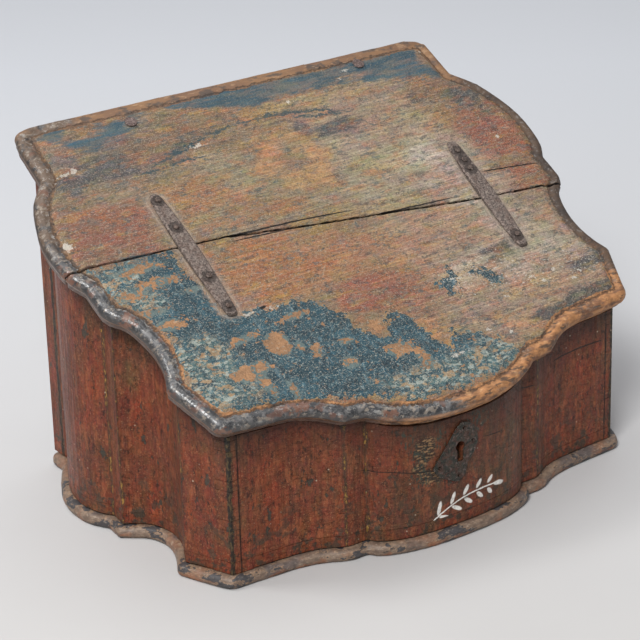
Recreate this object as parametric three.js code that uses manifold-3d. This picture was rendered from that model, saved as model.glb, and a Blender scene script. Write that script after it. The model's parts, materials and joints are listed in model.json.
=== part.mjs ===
// A slant-lidded painted box of pine with a carved serpentine outline: a moulded plinth, a floor board,
// four carved walls, a lid of two boards mended with two iron straps, a pair of hinges and a lock.
// Millimetres, +Z up, front towards -Y, width along X. Built with y = 0 at the lid's front corners, then
// moved so that the origin is under the middle of the whole box.
import * as THREE from "three";
import { mergeVertices } from "three/addons/utils/BufferGeometryUtils.js";
import Module from "manifold-3d";

const wasm = await Module();
wasm.setup();

// Driving dimensions
const slope = THREE.MathUtils.degToRad(28.28); // pitch of the lid
const lidUnderFront = 123.4; // height of the lid's underside at y = 0
const lidThickness = 17;
const arrisHeight = 9; // the lid's widest line, above its underside
const plinthThickness = 10;
const floorThickness = 10;
const wallBase = plinthThickness + floorThickness;
const frontInner = 15; // inner face of the front board
const sideInner = 172; // inner faces of the side boards
const backInner = 256;
const backFace = 270;
const backHalfWidth = 184.5;
const seam = 0.3; // gap between touching pieces
const lidGap = 0.4; // gap under the closed lid
const far = 400; // beyond the whole box, for cutting
const overallBack = 284.33; // rearmost line of the lid
const overallFront = -45.3; // foremost line of the lid
const curveSteps = 2; // straight steps for each point of a curved stretch

// Corner joint: pins of the front board show on the side faces
const stripLine = 179.5; // beyond this the side board's end grain shows in front
const pinHeight = 8.5;
const pinMiddles = [51, 84, 117];

// Lid joint and straps, in the lid's own plane: x across, u up the slope
const lidJoint = [[-260, 177.5], [-95, 167], [-20, 155], [133, 134], [260, 122]];
const lidCrack = 0.5;
const strapWidth = 16.5;
const strapThickness = 2.4;
const straps = [
  { side: "left", top: [-126.5, 224], bottom: [-131, 93], nails: [0.06, 0.285, 0.69, 0.93] },
  { side: "right", top: [147.5, 195.5], bottom: [139.5, 75], nails: [0.1, 0.19, 0.27, 0.9] },
];

// Hinges: leaf, knuckle and pin
const hingeXs = { left: -102, right: 123 };
const leafThickness = 1.6;
const leafWidth = 30;
const leafLength = 34;
const knuckleRadius = 3.9;
const knuckleBore = 2.3;
const hingePinRadius = 2;
const axisBehindFace = 2.75;
const axisBelowLid = 2.3;
const axisY = backFace + axisBehindFace;
const axisU = (axisY - axisBelowLid * Math.sin(slope)) / Math.cos(slope);
const axisZ = lidUnderFront + axisU * Math.sin(slope) - axisBelowLid * Math.cos(slope);
const rivetU = axisU - 8;
const leafNailU = axisU - 26;

// Lock: let into the inner face of the front board
const keyX = -3;
const keyZ = 77; // axis of the key and of the pin that it turns on
const keyRadius = 3.8;
const keySlotHalf = 2.5;
const keyBottom = 65;
const lockPlate = { left: -46, right: 50, bottom: 50, thickness: 1.7 };
const lockPocket = { left: -36, right: 40, front: -6, bottom: 56 };
const boltTravel = 10;
const boltBar = { left: -34, right: -2, front: 3.6, back: 6.6, bottom: 111.5, top: 118 };
const catchLoop = { left: -0.5, right: 4.5, u: 0.5, half: 5, wall: 1.5, drop: 16, eye: 9.4 };

// Nails: head radius, head height, shank radius and length
const strapNail = { head: 3.2, rise: 1.3, shank: 1.5, length: 14 };
const wallNail = { head: 4, rise: 1.2, shank: 1.6, length: 34 };
const baseNail = { head: 4, rise: 0, shank: 1.7, length: 46 };
const hingeNail = { head: 2.8, rise: 0.8, shank: 1.3, length: 12 };
const leafNail = { head: 2.4, rise: 0, shank: 1.3, length: 13 };
const catchNail = { head: 2.2, rise: 0, shank: 1.2, length: 12 };
const lockNail = { head: 3, rise: 1, shank: 1.4, length: 22 };
const escutcheonPin = { head: 1.7, rise: 0.7, shank: 0.9, length: 14 };

// Materials
const paint = (color, roughness) => new THREE.MeshStandardMaterial({ color, roughness, metalness: 0 });
const bodyRed = paint(0x6a3526, 0.55);
const lidBlue = paint(0x4f6a72, 0.6);
const plinthGrey = paint(0x57504e, 0.6);
const iron = new THREE.MeshStandardMaterial({ color: 0x4f4843, roughness: 0.65, metalness: 0.85 });

// Makes a closed three.js geometry a solid; triangles that collapsed to a line are left out.
function solidOf(geometry) {
  const bare = geometry.index ? geometry.toNonIndexed() : geometry.clone();
  bare.deleteAttribute("normal");
  bare.deleteAttribute("uv");
  const merged = mergeVertices(bare, 1e-3);
  const corners = merged.index.array;
  const triangles = [];
  for (let i = 0; i < corners.length; i += 3) {
    const [a, b, c] = corners.slice(i, i + 3);
    if (a !== b && b !== c && c !== a) triangles.push(a, b, c);
  }
  return new wasm.Manifold(
    new wasm.Mesh({
      numProp: 3,
      vertProperties: merged.attributes.position.array,
      triVerts: new Uint32Array(triangles),
    }),
  );
}

function addPiece(group, name, solid, material) {
  const made = solid.getMesh();
  const geometry = new THREE.BufferGeometry();
  geometry.setAttribute("position", new THREE.BufferAttribute(new Float32Array(made.vertProperties), 3));
  geometry.setIndex(new THREE.BufferAttribute(new Uint32Array(made.triVerts), 1));
  geometry.computeVertexNormals();
  const mesh = new THREE.Mesh(geometry, material);
  mesh.name = name;
  group.add(mesh);
}

function box(x0, x1, y0, y1, z0, z1) {
  const geometry = new THREE.BoxGeometry(x1 - x0, y1 - y0, z1 - z0);
  return geometry.translate((x0 + x1) / 2, (y0 + y1) / 2, (z0 + z1) / 2);
}

// An upright prism over an outline of [x, y] points or vectors.
function prism(outline, z0, z1) {
  const points = outline.map((p) => (p.isVector2 ? p : new THREE.Vector2(...p)));
  const options = { depth: z1 - z0, bevelEnabled: false };
  return new THREE.ExtrudeGeometry(new THREE.Shape(points), options).translate(0, 0, z0);
}

// A rod along Y.
function rod(radius, y0, y1, sides) {
  return new THREE.CylinderGeometry(radius, radius, y1 - y0, sides).translate(0, (y0 + y1) / 2, 0);
}

// The lid's own frame, (x, u, w), laid on the slope.
const lidFrame = new THREE.Matrix4()
  .makeRotationX(slope)
  .setPosition(0, 0, lidUnderFront);

// The whole outline, counter-clockwise, from its right half.
function mirrored(half) {
  const right = half.getPoints(curveSteps);
  const left = right
    .slice(0, -1)
    .reverse()
    .map((p) => new THREE.Vector2(-p.x, p.y));
  return [...right, ...left].reverse();
}

const through = (...points) => points.map(([x, y]) => new THREE.Vector2(x, y));

// Right half of the walls' outline, from the back corner round to the middle of the front.
function wallHalf() {
  const path = new THREE.Path();
  path.moveTo(backHalfWidth, backFace);
  path.lineTo(backHalfWidth, 246);
  path.splineThru(through([194, 232], [205, 214], [214, 195], [218, 172], [215, 153], [207.5, 140]));
  path.lineTo(210, 123);
  path.splineThru(through([201, 117.5], [192, 108], [187.5, 91], [190, 72], [197, 56], [205, 43]));
  path.lineTo(196, 24);
  path.lineTo(187, 3.5);
  path.lineTo(150, 1);
  path.splineThru(through([127, -1], [110, -6], [98, -13], [91, -15.5]));
  path.lineTo(76, -15.5);
  path.splineThru(through([71, -22.5], [61, -28.5], [44, -34], [22, -37], [0, -37.5]));
  return path;
}

// Right half of the plinth's widest line. It hardly stands out behind.
function plinthHalf() {
  const path = new THREE.Path();
  path.moveTo(181, 270.6);
  path.splineThru(through([188, 268.5], [191.5, 262]));
  path.lineTo(191.5, 247);
  path.splineThru(through([199.5, 236], [210.5, 218], [220, 197.5], [224, 176], [222, 154], [214, 138.5]));
  path.lineTo(216.3, 121);
  path.splineThru(through([205, 112], [197.5, 104], [193.8, 90], [196.5, 73], [203.5, 58], [212, 43]));
  path.lineTo(203.5, 21);
  path.splineThru(through([195.5, 3], [189, -2.6]));
  path.lineTo(150, -5);
  path.splineThru(through([129, -7], [112.5, -11.8], [100.5, -18.6], [92.5, -21.2]));
  path.lineTo(79.5, -21.4);
  path.splineThru(through([75, -28], [63.5, -34.2], [46, -39.6], [23, -42.6], [0, -43.2]));
  return path;
}

// Right half of the lid's widest line, as seen from above.
function lidHalf() {
  const path = new THREE.Path();
  path.moveTo(188, 277.4);
  path.splineThru(through([195.5, 274.6], [200.5, 267]));
  path.lineTo(201.6, 233);
  path.splineThru(through([211, 224], [220, 213], [231, 188], [233.7, 167], [231, 147], [223.6, 135]));
  path.lineTo(223.5, 114);
  path.splineThru(through([219, 106], [211, 99], [205.5, 83], [204.5, 68], [208, 53], [214.5, 41]));
  path.lineTo(202, 9);
  path.splineThru(through([198.5, 0.5], [191, -3.5]));
  path.splineThru(through([158, -6.2], [138, -7.7], [120, -12.5], [108, -19], [100, -23.6]));
  path.lineTo(82, -25.2);
  path.splineThru(through([66, -33.5], [46, -40], [23, -43.6], [0, -44.5]));
  return path;
}

// The ring moved inwards by a distance; the straight back edge takes its own share of it. An edge that
// shrinks to nothing gives way to its neighbours, so the new ring keeps the same number of points.
function insetRing(ring, distance, backShare = 1) {
  const count = ring.length;
  const edges = ring.map((start, i) => {
    const along = ring[(i + 1) % count].clone().sub(start).normalize();
    const inward = new THREE.Vector2(-along.y, along.x);
    const atBack = inward.y < -0.99 && start.y > backFace - 1;
    const shift = atBack ? distance * backShare : distance;
    return { start: i, along, origin: start.clone().addScaledVector(inward, shift) };
  });
  const meet = (a, b) => {
    const turn = a.along.cross(b.along);
    if (Math.abs(turn) < 1e-4) return b.origin.clone();
    const reach = b.origin.clone().sub(a.origin).cross(b.along) / turn;
    return a.origin.clone().addScaledVector(a.along, reach);
  };
  const live = [...edges];
  let corners = [];
  for (;;) {
    corners = live.map((edge, i) => meet(live.at(i - 1), edge));
    const lengths = live.map((edge, i) => {
      const end = corners[(i + 1) % live.length];
      return end.clone().sub(corners[i]).dot(edge.along);
    });
    const shortest = lengths.indexOf(Math.min(...lengths));
    if (lengths[shortest] >= 0) break;
    live.splice(shortest, 1);
  }
  return ring.map((_, i) => {
    const next = live.findIndex((edge) => edge.start >= i);
    return corners[next < 0 ? 0 : next];
  });
}

// A slab whose edge follows a moulding: each step of the profile is [inset, height].
function mouldedSlab(outline, profile, backShare) {
  const rings = profile.map(([inset]) => insetRing(outline, inset, backShare));
  const count = outline.length;
  const positions = [];
  const put = (k, p) => positions.push(p.x, p.y, profile[k][1]);
  for (let k = 0; k < rings.length - 1; k++) {
    for (let i = 0; i < count; i++) {
      const j = (i + 1) % count;
      put(k, rings[k][i]);
      put(k, rings[k][j]);
      put(k + 1, rings[k + 1][j]);
      put(k, rings[k][i]);
      put(k + 1, rings[k + 1][j]);
      put(k + 1, rings[k + 1][i]);
    }
  }
  const last = rings.length - 1;
  for (const [a, b, c] of THREE.ShapeUtils.triangulateShape(rings[0], [])) {
    for (const i of [c, b, a]) put(0, rings[0][i]);
  }
  for (const [a, b, c] of THREE.ShapeUtils.triangulateShape(rings[last], [])) {
    for (const i of [a, b, c]) put(last, rings[last][i]);
  }
  const geometry = new THREE.BufferGeometry();
  geometry.setAttribute("position", new THREE.Float32BufferAttribute(positions, 3));
  return geometry;
}

// A wrought nail, head up, with its head's underside at the origin. A flush nail has a countersunk head.
const nailSides = 8;
function nail({ head, rise, shank, length }) {
  const top = rise > 0
    ? [[shank, 0], [head, 0], [head * 0.8, rise * 0.7], [head * 0.3, rise], [0, rise]]
    : [[shank, -head * 0.5], [head, 0], [0, 0]];
  const profile = [[0, -length], [shank * 0.5, -length + 1], ...top];
  const lathe = new THREE.LatheGeometry(through(...profile), nailSides);
  return lathe.rotateX(Math.PI / 2);
}

function nailHole({ head, rise, shank, length }) {
  const wide = shank + seam;
  const countersink = [[wide, -head * 0.5 - seam], [head + seam, 0], [head + seam, 2], [0, 2]];
  const mouth = rise > 0 ? [[wide, 2], [0, 2]] : countersink;
  const lathe = new THREE.LatheGeometry(through([0, -length - 1], [wide, -length - 1], ...mouth), nailSides);
  return lathe.rotateX(Math.PI / 2);
}

// Turns that point a nail's head another way: up, down, back or front.
const turns = { up: 0, down: Math.PI, back: -Math.PI / 2, front: Math.PI / 2 };
function driven(geometry, facing, x, y, z) {
  return geometry.rotateX(turns[facing]).translate(x, y, z);
}

const wallOutline = mirrored(wallHalf());
const uOfPlan = (y) => (y + arrisHeight * Math.sin(slope)) / Math.cos(slope);
const backSkew = 0.021; // the lid's back edge isn't quite square to its sides
const lidOutline = mirrored(lidHalf()).map((p) => {
  const y = p.y > backFace ? p.y - backSkew * p.x : p.y;
  return new THREE.Vector2(p.x, uOfPlan(y));
});

const part = new THREE.Group();
part.position.y = -(overallFront + overallBack) / 2;
const lid = new THREE.Group();
lid.applyMatrix4(lidFrame);
part.add(lid);

// Everything above the closed lid's underside, less the gap.
const aboveWalls = solidOf(box(-far, far, -far, far, -lidGap, far).applyMatrix4(lidFrame));

// Keyhole: a round top over a slot, along Y.
function keyhole(grow, y0, y1) {
  const round = solidOf(rod(keyRadius + grow, y0, y1, 14).translate(keyX, 0, keyZ));
  const half = keySlotHalf + grow;
  return round.add(solidOf(box(keyX - half, keyX + half, y0, y1, keyBottom - grow, keyZ)));
}

// Nails of the case: back board to side boards, and plinth and floor to the walls.
const backNails = [];
for (const side of [-1, 1]) {
  for (const z of [48, 132, 222]) backNails.push([side * 178.5, backFace, z]);
}
const baseNails = [];
for (const side of [-1, 1]) {
  for (const [x, y] of [[182, 200], [179, 72]]) baseNails.push([side * x, y, 0.3]);
}

const plinthBackShare = 0.2; // how much of the plinth's moulding goes on along its straight back
function addPlinthAndFloor() {
  const profile = [[1.6, 0], [0.3, 1.6], [0, 4], [0.4, 6.6], [1.6, 8.8], [3.6, plinthThickness - seam / 2]];
  let plinth = solidOf(mouldedSlab(mirrored(plinthHalf()), profile, plinthBackShare));
  let floor = solidOf(prism(wallOutline, plinthThickness + seam / 2, wallBase - seam / 2));
  baseNails.forEach(([x, y, z]) => {
    const hole = solidOf(driven(nailHole(baseNail), "down", x, y, z));
    plinth = plinth.subtract(hole);
    floor = floor.subtract(hole);
  });
  addPiece(part, "plinth_board", plinth, plinthGrey);
  addPiece(part, "floor_board", floor, bodyRed);
  baseNails.forEach(([x, y, z], i) => {
    addPiece(part, `base_nail_${i + 1}`, solidOf(driven(nail(baseNail), "down", x, y, z)), iron);
  });
}

function addWalls() {
  const half = seam / 2;
  const shell = solidOf(prism(wallOutline, wallBase + half, far)).subtract(aboveWalls);
  const pins = (grow) => {
    const reach = pinHeight / 2 + grow;
    const back = frontInner - half + grow;
    const boxes = pinMiddles.map((z) => solidOf(box(-far, far, -far, back, z - reach, z + reach)));
    return boxes.reduce((all, one) => all.add(one));
  };

  const frontBody = solidOf(box(-stripLine + half, stripLine - half, -far, frontInner - half, 0, far));
  const between = solidOf(box(-sideInner, sideInner, -far, far, 0, far));
  let front = shell.intersect(frontBody.add(pins(-half).subtract(between)));
  front = front.subtract(lockRecess()).subtract(keyhole(0, -far, 0));
  for (const [x, z] of escutcheonPins) {
    front = front.subtract(solidOf(driven(nailHole(escutcheonPin), "front", x, escutcheonPinY(x), z)));
  }
  for (const [x, z] of lockNails) {
    front = front.subtract(solidOf(driven(nailHole(lockNail), "back", x, frontInner, z)));
  }
  addPiece(part, "front_board", front, bodyRed);

  for (const [name, side] of [["left_side_board", -1], ["right_side_board", 1]]) {
    const inner = [side * sideInner, side * far].sort((a, b) => a - b);
    const outer = [side * (stripLine + half), side * far].sort((a, b) => a - b);
    const main = solidOf(box(...inner, frontInner + half, backInner - half, 0, far));
    const strip = solidOf(box(...outer, -far, frontInner + 1, 0, far)).subtract(pins(half));
    let board = shell.intersect(main.add(strip));
    for (const [x, y, z] of baseNails) {
      board = board.subtract(solidOf(driven(nailHole(baseNail), "down", x, y, z)));
    }
    for (const [x, y, z] of backNails) {
      board = board.subtract(solidOf(driven(nailHole(wallNail), "back", x, y, z)));
    }
    addPiece(part, name, board, bodyRed);
  }

  let back = shell.intersect(solidOf(box(-far, far, backInner + half, far, 0, far)));
  for (const [x, y, z] of backNails) {
    back = back.subtract(solidOf(driven(nailHole(wallNail), "back", x, y, z)));
  }
  for (const x of Object.values(hingeXs)) back = back.subtract(backLeafRecess(x));
  addPiece(part, "back_board", back, bodyRed);
  backNails.forEach(([x, y, z], i) => {
    addPiece(part, `back_nail_${i + 1}`, solidOf(driven(nail(wallNail), "back", x, y + seam, z)), iron);
  });
}

// Hinges. The leaves are let in flush; the middle knuckle belongs to the back leaf.
const backNailDrops = [15, 28];
const middleKnuckle = leafWidth / 3;
const knuckleSides = 16;
const boreSides = 12;
const grooveRadius = knuckleRadius + 0.5;
const grooveReach = leafWidth / 2 + seam + 2;
const pinEnds = { from: 0.5, to: 1.8, radius: 3.1 }; // upset heads of the hinge pin, past the knuckles
// A rod along X whose middle is at a point.
function crossRod(radius, from, to, sides, x, y, z) {
  return solidOf(rod(radius, from, to, sides).rotateZ(-Math.PI / 2).translate(x, y, z));
}

function backLeafRecess(x) {
  const depth = knuckleRadius - axisBehindFace + seam;
  const reach = leafWidth / 2 + seam;
  const plate = solidOf(box(x - reach, x + reach, backFace - depth, far, axisZ - leafLength - seam, axisZ));
  const groove = crossRod(grooveRadius, -grooveReach, grooveReach, knuckleSides, x, axisY, axisZ);
  const nails = backNailDrops.map((drop) =>
    solidOf(driven(nailHole(hingeNail), "back", x, backFace + leafThickness, axisZ - drop)),
  );
  return nails.reduce((all, one) => all.add(one), plate.add(groove));
}

function addHinge(side, x) {
  const half = leafWidth / 2;
  const plateY = axisY - knuckleRadius;
  const plateTop = axisZ - knuckleRadius - 0.5;
  const middle = middleKnuckle / 2 - seam / 2;
  const onAxis = (radius, from, to, sides) => crossRod(radius, from, to, sides, x, axisY, axisZ);

  // back leaf
  const plateEnd = plateY + leafThickness;
  const plate = solidOf(box(x - half, x + half, plateY, plateEnd, axisZ - leafLength, plateTop));
  const finger = solidOf(box(x - middle, x + middle, plateY, plateEnd, plateTop - 1, axisZ));
  const tube = onAxis(knuckleRadius, -middle, middle, knuckleSides);
  const bore = onAxis(knuckleBore, -half - 1, half + 1, boreSides);
  let backLeaf = plate.add(finger).add(tube).subtract(bore);
  backNailDrops.forEach((drop, i) => {
    const at = [x, plateEnd, axisZ - drop];
    backLeaf = backLeaf.subtract(solidOf(driven(nailHole(hingeNail), "back", ...at)));
    const made = solidOf(driven(nail(hingeNail), "back", at[0], at[1] + seam, at[2]));
    addPiece(part, `${side}_hinge_nail_${i + 1}`, made, iron);
  });
  addPiece(part, `${side}_hinge_back_leaf`, backLeaf, iron);

  // pin, with a small upset head at each end
  const near = half + pinEnds.from;
  const end = half + pinEnds.to;
  const pin = onAxis(hingePinRadius, -end, end, boreSides);
  const leftHead = onAxis(pinEnds.radius, -end, -near, boreSides);
  const rightHead = onAxis(pinEnds.radius, near, end, boreSides);
  addPiece(part, `${side}_hinge_pin`, pin.add(leftHead).add(rightHead), iron);

  // lid leaf, in the lid's frame
  const leafTop = knuckleRadius - axisBelowLid;
  const leafBottom = leafTop - leafThickness;
  const leafEnd = axisU - knuckleRadius - 0.5;
  let lidLeaf = solidOf(box(x - half, x + half, axisU - leafLength, leafEnd, leafBottom, leafTop));
  for (const [from, to] of [[-half, -middle - seam], [middle + seam, half]]) {
    const arm = solidOf(box(x + from, x + to, leafEnd - 1, axisU, leafBottom, leafTop));
    const eye = crossRod(knuckleRadius, from, to, knuckleSides, x, axisU, -axisBelowLid);
    lidLeaf = lidLeaf.add(arm).add(eye);
  }
  const lidBore = crossRod(knuckleBore, -half - 1, half + 1, boreSides, x, axisU, -axisBelowLid);
  lidLeaf = lidLeaf.subtract(lidBore).subtract(rivetHole(x)).subtract(lidLeafNailHole(x));
  addPiece(lid, `${side}_hinge_lid_leaf`, lidLeaf, iron);
  addPiece(lid, `${side}_hinge_rivet`, solidOf(rivet(x)), iron);
  addPiece(lid, `${side}_hinge_lid_nail`, solidOf(driven(nail(leafNail), "down", x, leafNailU, 0.1)), iron);
}

// A clenched rivet with a broad round head on the lid.
const rivetRadius = 1.9;
const rivetHead = 5.6;
function rivet(x) {
  const top = lidThickness + seam;
  const stem = [[0, 0.2], [rivetRadius, 0.2], [rivetRadius, top]];
  const dome = [[rivetHead, top], [rivetHead - 0.6, top + 0.9], [0, top + 1.1]];
  return new THREE.LatheGeometry(through(...stem, ...dome), 14).rotateX(Math.PI / 2).translate(x, rivetU, 0);
}
function rivetHole(x) {
  const hole = rod(rivetRadius + seam, -2, lidThickness + 1, 10);
  return solidOf(hole.rotateX(Math.PI / 2).translate(x, rivetU, 0));
}
function lidLeafNailHole(x) {
  return solidOf(driven(nailHole(leafNail), "down", x, leafNailU, 0.1));
}
function lidHingeRecess(x) {
  const reach = leafWidth / 2 + seam;
  const depth = knuckleRadius - axisBelowLid + seam;
  const plate = solidOf(box(x - reach, x + reach, axisU - leafLength - seam, axisU, -1, depth));
  const groove = crossRod(grooveRadius, -grooveReach, grooveReach, knuckleSides, x, axisU, -axisBelowLid);
  return plate.add(groove).add(rivetHole(x)).add(lidLeafNailHole(x));
}

// Lid: two boards with a skew joint, in the lid's frame.
const lidProfile = [
  [3.6, 0], [2.4, 1.4], [2.4, 5.6], [0.6, 6.6], [0, arrisHeight], [0.7, 12], [2.8, 14.6], [5.8, 15.8],
  [8.6, 15.2], [10, 14.2], [17, lidThickness],
];
const lidBackShare = 0.35;
function addLid() {
  let slab = solidOf(mouldedSlab(lidOutline, lidProfile, lidBackShare));
  for (const x of Object.values(hingeXs)) slab = slab.subtract(lidHingeRecess(x));
  slab = slab.subtract(catchRecess());
  const strapTop = lidThickness + strapThickness + seam;
  for (const [x, u] of straps.flatMap(strapNailPlaces)) {
    slab = slab.subtract(solidOf(driven(nailHole(strapNail), "up", x, u, strapTop)));
  }
  const halfOf = (shift, end) => {
    const line = lidJoint.map(([x, u]) => [x, u + shift]);
    const ends = [line.at(-1)[0], line[0][0]].map((x) => [x, end]);
    return solidOf(prism([...line, ...ends], -lidThickness, 2 * lidThickness));
  };
  addPiece(lid, "lid_rear_board", slab.intersect(halfOf(lidCrack / 2, far)), lidBlue);
  addPiece(lid, "lid_front_board", slab.intersect(halfOf(-lidCrack / 2, -far)), lidBlue);
}

function strapNailPlaces({ top, bottom, nails }) {
  return nails.map((share) => [0, 1].map((k) => top[k] + (bottom[k] - top[k]) * share));
}

// A strap is a long blunt-ended plate, widest in its middle, with a bevelled edge. Each step of its side is
// a share of its length and a share of its half width.
const strapSide = [
  [0, 0.3], [0.012, 0.52], [0.05, 0.66], [0.25, 0.88], [0.5, 1],
  [0.75, 0.92], [0.95, 0.68], [0.988, 0.5], [1, 0.3],
];
function addStrap(strap) {
  const [x0, u0] = strap.bottom;
  const [x1, u1] = strap.top;
  const length = Math.hypot(x1 - x0, u1 - u0);
  const edge = (sign) =>
    strapSide.map(([share, wide]) => new THREE.Vector2((sign * wide * strapWidth) / 2, share * length));
  const outline = [...edge(1), ...edge(-1).reverse()];
  const bottom = lidThickness + seam;
  const profile = [[0, bottom], [0, bottom + 0.8], [1.6, bottom + strapThickness]];
  const turn = Math.atan2(x0 - x1, u1 - u0);
  let plate = solidOf(mouldedSlab(outline, profile).rotateZ(turn).translate(x0, u0, 0));
  strapNailPlaces(strap).forEach(([x, u], i) => {
    const height = bottom + strapThickness;
    plate = plate.subtract(solidOf(driven(nailHole(strapNail), "up", x, u, height)));
    const made = solidOf(driven(nail(strapNail), "up", x, u, height + seam));
    addPiece(lid, `${strap.side}_strap_nail_${i + 1}`, made, iron);
  });
  addPiece(lid, `${strap.side}_strap`, plate, iron);
}

// Lid catch: a small plate under the lid with a square loop for the bolt.
const catchPlate = { left: -14, right: 18, front: -6, back: 10, thickness: 1.5 };
const catchNails = [-9.5, 13.5];
function catchRecess() {
  const { left, right, front, back, thickness } = catchPlate;
  let made = solidOf(box(left - seam, right + seam, front - seam, back + seam, -1, thickness + seam));
  for (const x of catchNails) made = made.add(solidOf(driven(nailHole(catchNail), "down", x, 2, 0.1)));
  return made;
}
function addCatch() {
  const { left, right, front, back, thickness } = catchPlate;
  const { left: near, right: away, u, half, wall, drop, eye: eyeHeight } = catchLoop;
  const plate = solidOf(box(left, right, front, back, 0, thickness));
  const loop = solidOf(box(near, away, u - half, u + half, -drop, thickness / 3));
  const eyeBottom = -drop + wall;
  const eye = solidOf(
    box(near - 1, away + 1, u - half + wall, u + half - wall, eyeBottom, eyeBottom + eyeHeight),
  );
  let made = plate.add(loop.subtract(eye));
  catchNails.forEach((x, i) => {
    made = made.subtract(solidOf(driven(nailHole(catchNail), "down", x, 2, 0.1)));
    addPiece(lid, `catch_nail_${i + 1}`, solidOf(driven(nail(catchNail), "down", x, 2, 0.1)), iron);
  });
  addPiece(lid, "lid_catch", made, iron);
}

// Lock. Its plate is flush with the inner face of the front board, with a flange in the board's top edge.
const lockNails = [[-41, 58], [45, 58], [-41, 112], [45, 112]];
const flange = { front: -8, top: -0.7, thickness: 1.6 };
const plateBack = frontInner - 0.2;
const plateFront = plateBack - lockPlate.thickness;
function flangeBox(grow) {
  const left = lockPlate.left - grow;
  const right = lockPlate.right + grow;
  const bottom = flange.top - flange.thickness - grow;
  const top = grow > 0 ? lidThickness : flange.top;
  return solidOf(box(left, right, flange.front - grow, far, bottom, top).applyMatrix4(lidFrame));
}
function lockRecess() {
  const { left, right, bottom } = lockPlate;
  const inside = lockPocket;
  const pocket = solidOf(box(inside.left, inside.right, inside.front, far, inside.bottom, far));
  const plate = solidOf(box(left - seam, right + seam, plateFront - seam, far, bottom - seam, far));
  return pocket.add(plate).add(flangeBox(seam));
}
// A keeper is a square loop that the bolt's bar slides through.
function keeper(x0, x1) {
  const { front, back, bottom, top } = boltBar;
  const outer = solidOf(box(x0, x1, front - 2, plateFront + 0.5, bottom - 2.2, top + 2.2));
  return outer.subtract(solidOf(box(x0 - 1, x1 + 1, front - 0.4, back + 0.4, bottom - 0.4, top + 0.4)));
}
function addLock() {
  const upright = solidOf(box(lockPlate.left, lockPlate.right, plateFront, plateBack, lockPlate.bottom, far));
  const aboveFlange = solidOf(box(-far, far, -far, far, flange.top, far).applyMatrix4(lidFrame));
  const behindPlate = solidOf(box(-far, far, plateBack, far, 0, far));
  const { left, right, u, half } = catchLoop;
  const reach = half + catchClear;
  const slot = box(left - catchClear, right + catchClear, u - reach, u + reach, -6, 5);
  let plate = upright.subtract(aboveFlange).add(flangeBox(0).subtract(behindPlate));
  plate = plate.subtract(solidOf(slot.applyMatrix4(lidFrame)));
  const tip = boltBar.right + boltTravel;
  plate = plate.add(keeper(boltBar.left + 3, boltBar.left + 7)).add(keeper(tip - 2, tip + 2));
  const pinHole = rod(drillPin.radius + seam, plateFront - 1, plateBack + 1, boreSides);
  plate = plate.subtract(solidOf(pinHole.translate(keyX, 0, keyZ)));
  lockNails.forEach(([x, z], i) => {
    plate = plate.subtract(solidOf(driven(nailHole(lockNail), "back", x, frontInner, z)));
    const made = solidOf(driven(nail(lockNail), "back", x, plateBack + seam, z));
    addPiece(part, `lock_nail_${i + 1}`, made, iron);
  });
  addPiece(part, "lock_plate", plate, iron);
  const stem = rod(drillPin.radius, drillPin.front, plateBack, boreSides).translate(keyX, 0, keyZ);
  addPiece(part, "lock_drill_pin", solidOf(stem), iron);
  addPiece(part, "lock_bolt", lockBolt(), iron);
  addPiece(part, "lock_spring", lockSpring(), iron);
}

// The pin that the key's hollow stem turns on, riveted to the plate.
const drillPin = { radius: 1.8, front: -14 };
const catchClear = 1.4; // gap round the catch in the plate's flange

// The bolt: a bar with an arm down to the sweep of the key's bit, notched for it.
const boltArm = { left: -24, right: -12, bottom: keyZ + 9.5 };
function lockBolt() {
  const { left, right, front, back, bottom, top } = boltBar;
  const { left: armLeft, right: armRight, bottom: foot } = boltArm;
  const outline = [
    [left, bottom], [armLeft, bottom], [armLeft, foot + 4], [armLeft + 3, foot],
    [armRight + 14, foot], [armRight + 14, foot + 6], [armRight + 7, foot + 6], [armRight + 5, foot + 3.5],
    [armRight + 2, foot + 3.5], [armRight, foot + 8], [armRight, bottom],
    [right, bottom], [right, top], [left, top],
  ];
  return solidOf(prism(outline, -back, -front).rotateX(Math.PI / 2));
}

// A flat leaf spring that bears on the bolt's bar.
function lockSpring() {
  const { front, back, top } = boltBar;
  const rest = top + 0.5;
  const path = new THREE.Shape();
  path.moveTo(-26.6, rest + 1.6);
  path.quadraticCurveTo(-16, rest + 3.4, -8, rest);
  path.lineTo(-5, rest + 1.1);
  path.lineTo(-5.3, rest + 2);
  path.lineTo(-8, rest + 1);
  path.quadraticCurveTo(-16, rest + 4.4, -26.6, rest + 2.6);
  const options = { depth: back - front, bevelEnabled: false, curveSegments: 5 };
  const leaf = new THREE.ExtrudeGeometry(path, options);
  return solidOf(leaf.rotateX(Math.PI / 2).translate(0, back, 0));
}

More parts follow.
